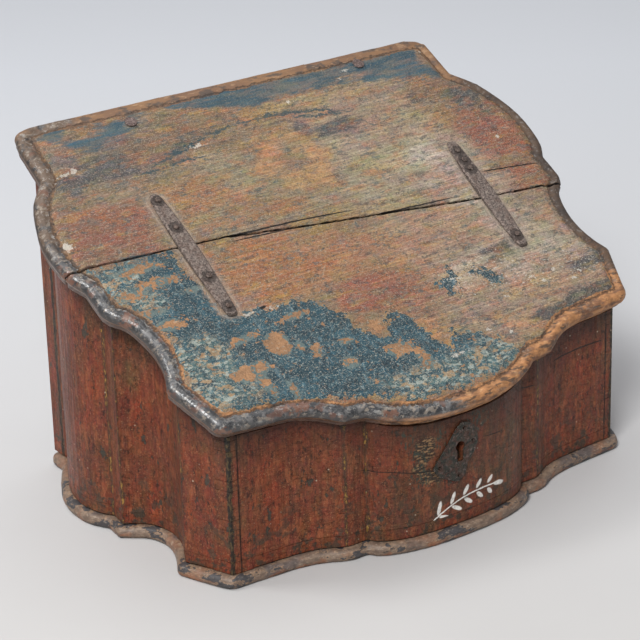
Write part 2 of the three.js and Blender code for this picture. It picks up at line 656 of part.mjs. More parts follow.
// Escutcheon: a worn lozenge of sheet iron, bent to the bulge of the front.
const escutcheonPins = [[1, 91.5], [9.5, 78.5], [-4, 52.5], [-22.5, 64]];
const plateLift = 1.4;
function frontAt(x) {
  const near = wallOutline.filter((p) => p.y < 0);
  const i = near.findIndex((p, k) => k > 0 && near[k - 1].x <= x && p.x >= x);
  const share = (x - near[i - 1].x) / (near[i].x - near[i - 1].x);
  return near[i - 1].y + share * (near[i].y - near[i - 1].y);
}
function escutcheonPinY(x) {
  return frontAt(x) - seam - plateLift;
}
function addEscutcheon() {
  const edge = through(
    [-2, 97], [7, 95], [13, 87], [14, 76], [9.5, 67], [4, 61], [2, 53], [-4.5, 47.5], [-13, 51],
    [-22, 55.5], [-28.5, 64], [-22.5, 73], [-14, 84], [-7, 93],
  );
  const shape = new THREE.Shape(new THREE.SplineCurve([...edge, edge[0]]).getPoints(28).slice(0, -1));
  const block = new THREE.ExtrudeGeometry(shape, { depth: far, bevelEnabled: false });
  const lozenge = solidOf(block.rotateX(Math.PI / 2));
  const outer = solidOf(prism(insetRing(wallOutline, -seam - plateLift), 0, far));
  const inner = solidOf(prism(insetRing(wallOutline, -seam), -1, far + 1));
  let plate = lozenge.intersect(outer).subtract(inner).subtract(keyhole(0.4, -far, 0));
  escutcheonPins.forEach(([x, z], i) => {
    const y = escutcheonPinY(x);
    plate = plate.subtract(solidOf(driven(nailHole(escutcheonPin), "front", x, y, z)));
    const made = solidOf(driven(nail(escutcheonPin), "front", x, y - seam, z));
    addPiece(part, `escutcheon_pin_${i + 1}`, made, iron);
  });
  addPiece(part, "escutcheon", plate, iron);
}

addPlinthAndFloor();
addWalls();
addEscutcheon();
addLock();
for (const [side, x] of Object.entries(hingeXs)) addHinge(side, x);
addLid();
for (const strap of straps) addStrap(strap);
addCatch();

export default part;
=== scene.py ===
# A slant-lidded painted box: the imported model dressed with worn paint, bare pine and forged iron.
import json
import math
from functools import partial
import bpy
import numpy as np
from mathutils import Matrix, Vector
from mathutils.kdtree import KDTree

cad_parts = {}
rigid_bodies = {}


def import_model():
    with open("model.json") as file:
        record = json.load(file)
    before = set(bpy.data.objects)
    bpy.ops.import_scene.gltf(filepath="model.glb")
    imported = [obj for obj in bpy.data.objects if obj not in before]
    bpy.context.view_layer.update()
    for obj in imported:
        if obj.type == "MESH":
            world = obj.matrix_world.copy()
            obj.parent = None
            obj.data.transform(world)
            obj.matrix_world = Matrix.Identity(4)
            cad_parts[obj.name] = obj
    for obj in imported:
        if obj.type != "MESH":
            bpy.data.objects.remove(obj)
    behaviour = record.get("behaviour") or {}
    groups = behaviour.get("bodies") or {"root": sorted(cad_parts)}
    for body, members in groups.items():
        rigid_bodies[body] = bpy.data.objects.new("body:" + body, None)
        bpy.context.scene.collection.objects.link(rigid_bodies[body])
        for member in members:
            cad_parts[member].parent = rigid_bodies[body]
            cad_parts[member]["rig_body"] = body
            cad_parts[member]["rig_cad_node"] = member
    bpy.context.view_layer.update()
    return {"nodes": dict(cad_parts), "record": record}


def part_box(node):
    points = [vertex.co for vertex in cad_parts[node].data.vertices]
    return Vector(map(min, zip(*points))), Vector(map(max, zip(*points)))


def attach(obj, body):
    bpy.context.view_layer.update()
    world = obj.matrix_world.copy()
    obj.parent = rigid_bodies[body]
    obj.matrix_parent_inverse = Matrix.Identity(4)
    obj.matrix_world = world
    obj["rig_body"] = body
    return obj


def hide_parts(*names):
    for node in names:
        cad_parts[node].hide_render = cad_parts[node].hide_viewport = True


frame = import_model()
mm = 0.001
bpy.context.scene.view_settings.view_transform = "Standard"


# camera, light and floor

cameraPlace = {
    "lens": 152.88,  # on a sensor 36 mm wide
    "heading": 35.04,  # degrees from +Y towards +X
    "down": 23.87,
    "roll": -1.61,
    "at": (-1.1556, -1.6199, 1.0082),
}
studio = {
    "floorSize": 14.0,
    "awayFromCamera": (0.57, 0.82, 0.0),
    "skylight": "#f3f5fa",
    "ambient": 0.42,
    # the floor runs from darker near the box to paler far off: painted light that evens out the lamps'
    # fall-off
    "floorNear": "#bcbab8",
    "floorClouds": "#c4c2c0",
    "floorFar": "#d3d5d9",
    "backdrop": "#d4d6db",
    "lampsAim": (0, 0, 0.12),
    "lamps": [  # place in metres, size in metres, watts
        ((-1.45, -1.25, 2.1), 0.8, 60),
        ((-1.15, 0.75, 1.7), 0.6, 13),
        ((0.3, 0.5, 2.6), 2.0, 21),
    ],
}


def linear(hexColour):
    parts = [int(hexColour[i:i + 2], 16) / 255 for i in (1, 3, 5)]
    return [p / 12.92 if p <= 0.04045 else ((p + 0.055) / 1.055) ** 2.4 for p in parts] + [1.0]


# a hex colour or a grey level as a node takes it; the output of a node stays as it is
def toned(tone):
    if isinstance(tone, str):
        return linear(tone)
    return [tone] * 3 + [1.0] if isinstance(tone, float) else tone


# adds a shader node with its inputs, each a value or the output that feeds it, and its settings, and gives
# the output that is asked for
def addNode(tree, kind, inputs=None, out=0, **settings):
    node = tree.nodes.new("ShaderNode" + kind)
    for name, value in settings.items():
        setattr(node, name, value)
    for key, value in (inputs or {}).items():
        if isinstance(value, bpy.types.NodeSocket):
            tree.links.new(value, node.inputs[key])
        else:
            node.inputs[key].default_value = value
    return node.outputs[out] if node.outputs else node


def newMaterial(name, roughness=0.5, metallic=0.0, specular=0.5):
    material = bpy.data.materials.new(name)
    material.use_nodes = True
    tree = material.node_tree
    tree.nodes.clear()
    shader = addNode(tree, "BsdfPrincipled",
                     {"Roughness": roughness, "Metallic": metallic, "Specular IOR Level": specular})
    addNode(tree, "OutputMaterial", {"Surface": shader})
    return material, tree, shader.node


def setCamera():
    data = bpy.data.cameras.new("camera")
    data.lens = cameraPlace["lens"]
    data.sensor_width = 36
    data.clip_end = 50
    camera = bpy.data.objects.new("camera", data)
    bpy.context.scene.collection.objects.link(camera)
    turn = Matrix.Rotation(-math.radians(cameraPlace["heading"]), 4, "Z")
    turn = turn @ Matrix.Rotation(math.radians(90 - cameraPlace["down"]), 4, "X")
    turn = turn @ Matrix.Rotation(math.radians(cameraPlace["roll"]), 4, "Z")
    camera.matrix_world = Matrix.Translation(cameraPlace["at"]) @ turn
    bpy.context.scene.camera = camera


def setLight():
    for number, (at, size, watts) in enumerate(studio["lamps"]):
        data = bpy.data.lights.new("softbox_" + str(number + 1), "AREA")
        data.energy = watts
        data.size = size
        light = bpy.data.objects.new(data.name, data)
        bpy.context.scene.collection.objects.link(light)
        light.location = at
        aim = Vector(studio["lampsAim"]) - light.location
        light.rotation_euler = aim.to_track_quat("-Z", "Y").to_euler()
    world = bpy.data.worlds.new("studio")
    world.use_nodes = True
    bpy.context.scene.world = world
    tree = world.node_tree
    tree.nodes.clear()
    ray = addNode(tree, "LightPath").node.outputs
    seen = addNode(tree, "Math",
                   {0: ray["Is Camera Ray"], 1: ray["Is Transmission Ray"]}, operation="MAXIMUM")
    lit = addNode(tree, "Background",
                  {"Color": linear(studio["skylight"]), "Strength": studio["ambient"]})
    shown = addNode(tree, "Background", {"Color": linear(studio["backdrop"]), "Strength": 1.0})
    mixed = addNode(tree, "MixShader", {0: seen, 1: lit, 2: shown})
    addNode(tree, "OutputWorld", {"Surface": mixed})


# pale painted studio floor: faint clouds, cooler towards the back, and painted paler there to make up for
# the lamps' light falling off
def setFloor():
    bpy.ops.mesh.primitive_plane_add(size=studio["floorSize"])
    floor = bpy.context.object
    floor.name = "studio_floor"
    material, tree, shader = newMaterial("paleStudioFloor", 0.55, 0.0, 0.2)
    place = addNode(tree, "TexCoord", out="Object")
    away = addNode(tree, "VectorMath",
                   {0: place, 1: studio["awayFromCamera"]}, "Value", operation="DOT_PRODUCT")
    far = addNode(tree, "MapRange", {"Value": away, "From Min": -0.3, "From Max": 1.0})
    clouds = addNode(tree, "TexNoise", {"Vector": place, "Scale": 5.0, "Detail": 4.0})
    faint = addNode(tree, "MapRange",
                    {"Value": clouds, "From Min": 0.35, "From Max": 0.7, "To Max": 0.35})
    near = addNode(tree, "Mix",
                   {0: faint, 6: linear(studio["floorNear"]), 7: linear(studio["floorClouds"])},
                   2, data_type="RGBA")
    # paler towards the back: painted light in place of the lamps' light, which falls off there
    colour = addNode(tree, "Mix", {0: far, 6: near, 7: linear(studio["floorFar"])}, 2, data_type="RGBA")
    tree.links.new(colour, shader.inputs["Base Color"])
    floor.data.materials.append(material)


setCamera()
setLight()
setFloor()
print("camera, light and floor")


# patterns; every size in them is in millimetres


# noise whose cells have a size, and a stretch along x or along each axis; a shift gives another part of it
def noiseOf(tree, place, size, stretch, shift, detail, roughness=0.5, out=0):
    if not isinstance(stretch, tuple):
        stretch = (stretch, 1, 1)
    moved = addNode(tree, "Mapping",
                    {"Vector": place, "Scale": [1 / (size * s) for s in stretch], "Location": shift})
    return addNode(tree, "TexNoise",
                   {"Vector": moved, "Scale": 1.0, "Detail": detail, "Roughness": roughness}, out)


# blotches of noise: 0 below low, 1 above high
def blotches(tree, place, size, low, high, stretch=1, detail=4, seed=0.0, turn=0.0):
    if turn:
        place = addNode(tree, "Mapping",
                        {"Vector": place, "Rotation": (0, 0, math.radians(turn))})
    noise = noiseOf(tree, place, size, stretch, (seed, seed * 1.7, seed * 2.3), detail, 0.6)
    return addNode(tree, "MapRange", {"Value": noise, "From Min": low, "From Max": high},
                   interpolation_type="SMOOTHSTEP")


# the sum of several noises in mm, to make drawn edges ragged: each has a size, a stretch and a reach
def wobble(tree, place, *waves):
    total = 0.0
    for number, (size, stretch, reach) in enumerate(waves):
        noise = noiseOf(tree, place, size, stretch, [number * 7.3] * 3, 3.0)
        wave = addNode(tree, "MapRange",
                       {"Value": noise, "From Min": 0.3, "From Max": 0.7,
                        "To Min": -reach, "To Max": reach}, clamp=False)
        total = addNode(tree, "Math", {0: total, 1: wave})
    return total


# 1 where a distance stored on the piece, in mm, has passed the start of a band, with a soft or sharp edge
def bandOf(tree, name, start, end, ragged=None):
    reach = addNode(tree, "Attribute", out="Fac", attribute_name=name)
    if ragged is not None:
        reach = addNode(tree, "Math", {0: reach, 1: ragged})
    return addNode(tree, "MapRange", {"Value": reach, "From Min": start, "From Max": end},
                   interpolation_type="SMOOTHSTEP")


# the two edges of a drawn line whose signed distance is stored on the piece
def lineOf(tree, name, outer, inner, ragged=None):
    return [bandOf(tree, name, sign * outer, sign * inner, ragged) for sign in (1, -1)]


# an oval with its centre, half sizes and turn in the first two coordinates of a place
def oval(tree, place, centre, half, turn=0.0, soft=0.35):
    moved = addNode(tree, "Mapping",
                    {"Vector": place, "Location": (*centre, 0), "Rotation": (0, 0, math.radians(turn)),
                     "Scale": (*half, 1e6)}, vector_type="TEXTURE")
    far = addNode(tree, "VectorMath", {0: moved}, "Value", operation="LENGTH")
    return addNode(tree, "MapRange", {"Value": far, "From Min": 1 + soft, "From Max": 1 - soft},
                   interpolation_type="SMOOTHSTEP")


# a share where all the masks lie
def coverOf(tree, share, masks):
    for mask in masks:
        share = addNode(tree, "Math", {0: share, 1: mask}, operation="MULTIPLY")
    return share


# coats over a ground: each is a colour or a level, the share that it covers, and masks of where it lies
def coats(tree, ground, layers):
    result = toned(ground)
    for tone, share, *masks in layers:
        cover = coverOf(tree, share, masks)
        result = addNode(tree, "Mix", {0: cover, 6: result, 7: toned(tone)}, 2, data_type="RGBA")
    return result


# thin wandering lines where a noise passes its middle: 1 on them, 0 beyond their width
def veins(tree, place, size, width, stretch=1, seed=0.0):
    noise = noiseOf(tree, place, size, stretch, [seed] * 3, 4.0, 0.62)
    off = addNode(tree, "Math", {0: noise, 1: 0.5}, operation="SUBTRACT")
    far = addNode(tree, "Math", {0: off}, operation="ABSOLUTE")
    return addNode(tree, "MapRange", {"Value": far, "From Min": width, "From Max": width * 0.4})


# unevenness of old paint, laid over a colour without changing its mean; in light and dark, or in hue too
def mottled(tree, colour, place, size, stretch, share, contrast=0.6, seed=0.0, inHue=False):
    noise = noiseOf(tree, place, size, stretch, [seed] * 3, 5.0, 0.65, "Color" if inHue else 0)
    strong = addNode(tree, "BrightContrast", {0: noise, "Contrast": contrast})
    return addNode(tree, "Mix", {0: share, 6: colour, 7: strong}, 2, data_type="RGBA", blend_type="OVERLAY")


# masks that grow from one height to another, for parts that are named in a dictionary of such pairs
def heightMasks(tree, place, parts):
    height = addNode(tree, "SeparateXYZ", {0: place}, 2)
    return [addNode(tree, "MapRange", {"Value": height, "From Min": start, "From Max": end})
            for start, end in parts.values()]


# the colour of a shader, and its height from shares of several masks, as bump of a depth in mm
def dress(tree, shader, colour, depth, shares):
    tree.links.new(colour, shader.inputs["Base Color"])
    total = 0.0
    for share, *masks in shares:
        total = addNode(tree, "Math", {0: total, 1: coverOf(tree, share, masks)})
    node = addNode(tree, "Bump", {"Height": total, "Strength": 1.0, "Distance": depth * mm})
    tree.links.new(node, shader.inputs["Normal"])


# shapes

# a merged copy of a CAD node, remeshed in cells, its edges worn round and its surface a little dented; where
# it is crisp, at a joint, its edges stay sharp
def wornCopy(node, work, crisp=None):
    cad = frame["nodes"][node]
    cell = work["cell"] * mm
    bpy.ops.object.select_all(action="DESELECT")
    cad.select_set(True)
    bpy.context.view_layer.objects.active = cad
    bpy.ops.object.duplicate()
    piece = bpy.context.object
    piece.name = node + "_worn"
    del piece["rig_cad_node"]
    piece.data.materials.clear()
    bpy.ops.object.mode_set(mode="EDIT")
    bpy.ops.mesh.select_all(action="SELECT")
    bpy.ops.mesh.remove_doubles(threshold=0.01 * mm)
    bpy.ops.object.mode_set(mode="OBJECT")
    remesh = piece.modifiers.new("remesh", "REMESH")
    remesh.mode = "SHARP" if crisp else "VOXEL"
    remesh.voxel_size = cell
    remesh.octree_depth = 9  # fine enough for the scale that gives the cells their size
    remesh.scale = max(piece.dimensions) / (cell * 2 ** remesh.octree_depth)
    remesh.use_remove_disconnected = False
    remesh.use_smooth_shade = True
    bpy.ops.object.modifier_apply(modifier="remesh")
    wearGroup = "worn" if crisp else ""
    if crisp:
        worn = piece.vertex_groups.new(name=wearGroup)
        worn.add([v.index for v in piece.data.vertices if not crisp(v.co / mm)], 1.0, "REPLACE")
    smooth = piece.modifiers.new("smooth", "SMOOTH")
    smooth.vertex_group = wearGroup
    smooth.factor = 0.5
    smooth.iterations = 2
    bpy.ops.object.modifier_apply(modifier="smooth")
    for size, depth in work["dents"]:
        clouds = bpy.data.textures.new("dents", "CLOUDS")
        clouds.noise_scale = size * mm
        clouds.noise_depth = 2
        displace = piece.modifiers.new("dents", "DISPLACE")
        displace.texture = clouds
        displace.vertex_group = wearGroup
        displace.texture_coords = "LOCAL"
        displace.mid_level = 0.85
        displace.strength = depth * mm
        bpy.ops.object.modifier_apply(modifier="dents")
    if crisp:
        bpy.ops.object.shade_smooth_by_angle(angle=math.radians(32))
    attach(piece, cad["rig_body"])
    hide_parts(node)
    return piece


def placesInMm(piece):
    flat = np.empty(len(piece.data.vertices) * 3)
    piece.data.vertices.foreach_get("co", flat)
    return flat.reshape(-1, 3) / mm


farOff = 60.0  # mm; no distance beyond it is told apart


def storeReach(piece, name, values):
    stored = piece.data.attributes.new(name, "FLOAT", "POINT")
    stored.data.foreach_set("value", np.asarray(values, np.float32))


# distance in mm of flat points from closed outlines, positive inside any of them
def outlineReach(flat, outlines):
    best = np.full(len(flat), -farOff)
    for outline in outlines:
        a = np.asarray(outline, float)
        b = np.roll(a, -1, axis=0)
        run = b - a
        apart = flat[:, None, :] - a[None]
        share = np.clip((apart * run).sum(2) / (run * run).sum(1), 0, 1)
        far = np.sqrt(((apart - share[..., None] * run) ** 2).sum(2).min(1))
        crosses = (a[:, 1] > flat[:, 1:2]) != (b[:, 1] > flat[:, 1:2])
        rise = np.where(run[:, 1] == 0, 1e-9, run[:, 1])
        left = flat[:, :1] < a[:, 0] + (flat[:, 1:2] - a[:, 1]) * run[:, 0] / rise
        inside = (crosses & left).sum(1) % 2 == 1
        best = np.maximum(best, np.where(inside, far, -far))
    return best


# the same for oval spots
def spotReach(flat, spots):
    best = np.full(len(flat), -farOff)
    for x, u, halfX, halfU in spots:
        off = np.hypot((flat[:, 0] - x) / halfX, (flat[:, 1] - u) / halfU)
        best = np.maximum(best, (1 - off) * min(halfX, halfU))
    return best


# signed distance from a drawn line, in shares of its half width, which narrows to nothing at its ends
def lineReach(flat, line, halfWidth, taper):
    xs = [p[0] for p in line]
    across = flat[:, 1] - np.interp(flat[:, 0], xs, [p[1] for p in line])
    room = np.minimum((flat[:, 0] - xs[0]) / taper[0], (xs[-1] - flat[:, 0]) / taper[1])
    return np.clip(across / (halfWidth * np.clip(room, 0.02, 1)), -30, 30)


# gives the faces that pass a test another material
def paintFaces(piece, material, test):
    piece.data.materials.append(material)
    number = len(piece.data.materials) - 1
    for face in piece.data.polygons:
        if test(face.center / mm, face.normal):
            face.material_index = number


# the lid's own plane: x across, u up the slope from the front corners, w above the underside

lidPlane = {"slope": 28.28, "under": 123.4, "shift": 119.515, "widest": 9.0}
lidSlope = math.radians(lidPlane["slope"])
lidOutwards = Vector((0, -math.sin(lidSlope), math.cos(lidSlope)))
# how far the lid's underside is from the origin, outwards
underside = lidPlane["shift"] * math.sin(lidSlope) + lidPlane["under"] * math.cos(lidSlope)


def toLid(places):
    y = places[:, 1] + lidPlane["shift"]
    z = places[:, 2] - lidPlane["under"]
    u = y * math.cos(lidSlope) + z * math.sin(lidSlope)
    w = -y * math.sin(lidSlope) + z * math.cos(lidSlope)
    return np.stack([places[:, 0], u, w], 1)


def lidPlace(tree):
    place = addNode(tree, "TexCoord", out="Object")
    along = lidPlane["shift"] * math.cos(lidSlope) - lidPlane["under"] * math.sin(lidSlope)
    turned = addNode(tree, "Mapping",
                     {"Vector": place, "Location": (0, along, -underside),
                      "Rotation": (-lidSlope, 0, 0), "Scale": (1000, 1000, 1000)})
    return turned


# coats of the lid's worn field, lowest first: colour, share, softness of the edge, outlines in mm
fieldCoats = {
    "olive": ("#96896a", 0.7, 9, [
        [(-100, 172), (-40, 165), (30, 158), (100, 148), (120, 160), (98, 190), (95, 215), (60, 232),
         (42, 232), (42, 200), (30, 188), (-10, 186), (-28, 205), (-30, 245), (-60, 250), (-95, 238),
         (-112, 208)],
        [(-135, 236), (-178, 236), (-184, 222), (-140, 222)]]),
    "russet": ("#b0744a", 0.6, 12, [
        [(-122, 160), (-10, 150), (60, 138), (112, 126), (100, 92), (40, 88), (-46, 90), (-122, 96)]]),
    "ochre": ("#a5823a", 0.52, 6, [
        [(98, 212), (135, 208), (172, 214), (168, 232), (130, 242), (104, 236)],
        [(45, 190), (85, 188), (88, 205), (50, 208)],
        [(-40, 150), (0, 148), (60, 142), (85, 150), (0, 166), (-40, 172)],
        [(-18, 286), (60, 290), (100, 288), (105, 276), (60, 268), (-10, 270)]]),
    "orange": ("#a3622f", 0.68, 7, [
        [(-115, 226), (-62, 222), (-60, 200), (-90, 190), (-112, 196)],
        [(-135, 272), (-110, 284), (-62, 284), (-56, 270), (-80, 262), (-125, 264)],
        [(128, 252), (160, 276), (188, 262), (190, 236), (166, 228), (150, 240)],
        [(-112, 160), (-60, 156), (-30, 120), (-46, 94), (-95, 94), (-120, 118)],
        [(-152, 311), (-104, 310), (-106, 301), (-130, 302), (-154, 305)],
        [(-60, 205), (-10, 180), (-20, 170), (-90, 186)]]),
    "red": ("#94452f", 0.76, 8, [
        [(-222, 180), (-145, 173), (-142, 222), (-170, 228), (-205, 226), (-220, 205)],
        [(160, 222), (212, 226), (222, 190), (214, 166), (166, 166), (160, 190)],
        [(166, 162), (210, 160), (206, 126), (166, 130)],
        [(-44, 92), (-20, 98), (20, 90), (46, 84), (50, 52), (20, 48), (-10, 56), (-30, 60), (-42, 72)]]),
    "tan": ("#b07c4c", 0.9, 4, [
        [(84, 46), (130, 52), (190, 46), (200, 30), (150, 22), (110, 28), (88, 32)],
        [(58, 20), (100, 24), (130, 14), (118, -2), (90, -5), (62, 4)],
        [(8, 42), (28, 38), (26, 8), (10, 4)],
        [(-12, 14), (2, 18), (6, -2), (-6, -4)],
        [(72, 76), (84, 74), (96, 60), (74, 48), (60, 54)]]),
    "brownGlaze": ("#8e6e52", 0.8, 6, [
        [(148, 310), (196, 312), (196, 266), (182, 262), (160, 284), (146, 296)]]),
    # haze, rightVeil and hazeTop: pale veils on the right of the field, partly its own faded paint and
    # partly a painted sheen of light on the varnish
    "haze": ("#bdad9c", 0.66, 16, [
        [(98, 202), (130, 214), (166, 196), (168, 150), (160, 82), (130, 82), (118, 120), (104, 165)],
        [(60, 84), (100, 90), (182, 96), (206, 60), (120, 54), (62, 62)]]),
    "rightVeil": ("#cbbdab", 0.26, 25, [
        [(30, 290), (150, 290), (158, 150), (205, 108), (205, -10), (40, -10), (30, 100)]]),
    "rearShade": ("#5a453b", 0.24, 14, [
        [(-225, 176), (-143, 170), (-140, 230), (-208, 232)]]),
    "hazeTop": ("#c9baa8", 0.6, 12, [
        [(96, 206), (130, 214), (142, 200), (132, 168), (106, 166)]]),
    "smoke": ("#4b5152", 0.5, 12, [
        [(-204, 304), (-110, 300), (-60, 290), (-84, 252), (-128, 238), (-206, 234)],
        [(150, 268), (200, 262), (212, 236), (190, 228), (152, 246)]]),
    "slate": ("#363d42", 0.95, 3.5, [
        [(-196, 264), (-168, 272), (-132, 270), (-128, 257), (-158, 252), (-176, 236), (-192, 240)],
        [(42, 250), (98, 246), (96, 236), (44, 234)],
        [(-80, 268), (-44, 271), (-42, 262), (-84, 260)],
        [(182, 250), (200, 250), (208, 214), (200, 212), (186, 238)],
        [(140, 256), (152, 260), (154, 252), (144, 246)],
        [(96, 84), (134, 82), (130, 72), (100, 72)],
        [(104, 8), (150, 22), (196, 22), (196, 12), (150, 8)],
        [(62, 28), (88, 30), (92, 22), (66, 20)],
        [(140, 44), (200, 50), (204, 44), (150, 38)]]),
}
lidDrawing = {  # outlines of the areas with a sharper edge, and of the parts of the bead
    "blue": [
        [(-222, 169), (-205, 169.5), (-168, 168.5), (-146, 167), (-142, 158), (-138.5, 120), (-138, 97),
         (-128, 92), (-108, 92), (-95, 90.5), (-75, 91), (-62, 86), (-53, 75), (-46, 63), (-46, 51),
         (-39, 43), (-30, 37), (-20, 44), (-13, 53), (-4, 52), (3, 40), (9, 25), (10, 12), (16, 8),
         (24, 22), (36, 18), (50, 8), (62, -2), (80, -10), (96, -8), (90, -18), (50, -26), (10, -30),
         (-30, -27), (-60, -18), (-90, -6), (-120, 6), (-190, 14), (-202, 40), (-197, 60), (-189, 88),
         (-190, 100), (-200, 128), (-218, 142), (-226, 158)],
        [(48, 70), (62, 76), (66, 66), (52, 52), (46, 58)],
        [(74, 72), (88, 70), (104, 56), (96, 48), (84, 58), (74, 64)]],
    "blueBand": [
        [(-70, 311), (168, 312), (176, 300), (192, 266), (184, 262), (166, 277), (135, 275), (114, 288),
         (60, 287), (30, 289), (-20, 288), (-50, 293), (-70, 301)],
        [(-182, 306), (-166, 305), (-150, 299), (-112, 305), (-106, 290), (-130, 285), (-152, 288),
         (-182, 297)],
        [(-100, 310), (-72, 310), (-72, 303), (-100, 303)],
        [(-216, 162), (-150, 164), (-150, 150), (-212, 148)]],
    "paleBlue": [
        [(-224, 168), (-176, 166), (-178, 120), (-196, 122), (-216, 142)],
        [(-202, 80), (-170, 86), (-150, 66), (-152, 20), (-192, 14), (-202, 44)],
        [(-60, -2), (60, 2), (90, -12), (50, -28), (-40, -28)],
        [(40, 16), (70, 50), (110, 48), (90, 20)],
        [(100, 82), (134, 84), (130, 68), (106, 66)],
        [(150, 60), (204, 62), (204, 46), (160, 46)]],
    "brownEdge": [
        [(-270, 335), (-120, 335), (-120, 212), (-270, 190)]],
    "slateEdge": [
        [(-270, 322), (-150, 322), (-150, 185), (-90, 60), (-25, 10), (5, -70), (-270, -70)]],
    "frontEdge": [
        [(-66, 10), (210, 70), (250, 70), (250, -80), (-66, -80)]],
    "rightEdge": [
        [(150, 262), (260, 262), (260, 16), (204, 16), (200, 58), (150, 58)]],
    "chalkyPatch": [
        [(46, 78), (108, 84), (132, 66), (196, 58), (196, 36), (120, 36), (60, 42)]],
    "orangeEdge": [
        [(-240, 112), (-150, 90), (100, 30), (240, 70), (240, -70), (-240, -70)]],
}
lidSpots = {  # each has its centre and two half sizes
    "flakes": [
        (-113, 58, 9, 10), (-152, 40, 9, 6), (-138, 42, 6, 5), (-142, 29, 3, 10), (-68, 22, 5, 5),
        (-183, 103, 9, 4), (-178, 160, 14, 3), (-196, 138, 10, 2.4), (-170, 143, 13, 3),
        (-135, 71, 7, 2.4), (-87, 42, 2.4, 3.4), (-97, 50, 2, 2.4), (-85, 78, 6, 2), (-60, 42, 3, 1.6),
        (-22, 20, 9, 5), (-9, 6, 4, 8), (-198, 118, 10, 1.6), (-148, 128, 5, 1.6), (-125, 14, 1.6, 5),
        (-28, 47, 3, 5)],
    "chalk": [
        (38, 281, 2.2, 2), (107, 298, 2.4, 1), (98, 290, 1.4, 1), (-181, 266, 6, 1.2),
        (-172, 268, 2.4, 1.8), (193, 189, 2, 2), (-61, 260, 8, 1.2), (-119, 91, 4, 1.2),
        (-98, 91, 4, 1.2), (64, 66, 6, 1), (188, 298, 3, 1.4), (-219, 198, 5, 4), (20, -1, 4, 1),
        (57, 12, 1.6, 1.6), (75, 3, 1.2, 1.2), (128, 45, 3, 1.2), (149, 47, 1.4, 2.4), (134, 39, 3, 1.2),
        (170, 38, 2, 1.4), (93, 36, 1.6, 1), (196, 34, 2, 1.6), (160, 33, 3, 1)],
    "rubbedNoses": [
        (-201, -1, 10, 7), (-219, 52, 8, 9), (-232, 172, 7, 9), (-208, 120, 6, 8), (-66, -34, 7, 5),
        (-128, 2, 12, 5), (86, -28, 12, 6)],
}
garland = {  # thin strokes of a painted festoon: a line, its half width and the taper of its ends
    "garlandLong": ([(-112, 251), (-85, 257), (-50, 268), (-20, 272), (20, 271), (55, 265), (84, 256)],
                    1.5, (14, 14)),
    "garlandLow": ([(-128, 247), (-100, 246), (-80, 250), (-60, 247)], 1.5, (14, 14)),
    "garlandShort": ([(-96, 260), (-72, 261), (-52, 267)], 2.0, (9, 9)),
    "garlandRight": ([(26, 266), (60, 258), (88, 254)], 1.3, (12, 12)),
}
wreath = {"centre": (7, 221), "radius": 23, "band": 9, "petals": 6, "petalDepth": 3.5, "squash": 1.05}
cracks = {  # the same, along and beside the joint of the two boards, which is a real gap
    "joint": ([(-240, 176), (-95, 167), (-20, 155), (133, 134), (225, 125.4)], 0.85, (1, 1)),
    "crackA": ([(-99, 167.3), (-71.5, 165), (-24.7, 162.2), (11.1, 158.7), (27, 157)], 0.8, (3, 26)),
    "crackB": ([(-96, 160.8), (-77.3, 159.8), (-30, 156.2), (-18, 155)], 0.6, (22, 3)),
    "crackC": ([(42, 146.6), (62, 145), (98, 142.6), (123, 140.8)], 0.75, (3, 30)),
    "crackD": ([(155, 158.4), (178, 155.4), (196, 153), (213, 150.4)], 0.65, (4, 12)),
}


lidEdge = {  # heights in mm above the underside, from where to where each mask grows
    # the top of the bead, where a painted sheen lies
    "crestSheen": (10.0, 14.5),
    "low": (6.9, 6.1),
    "lip": (8.4, 7.8),
    "under": (12.2, 10.4),
}
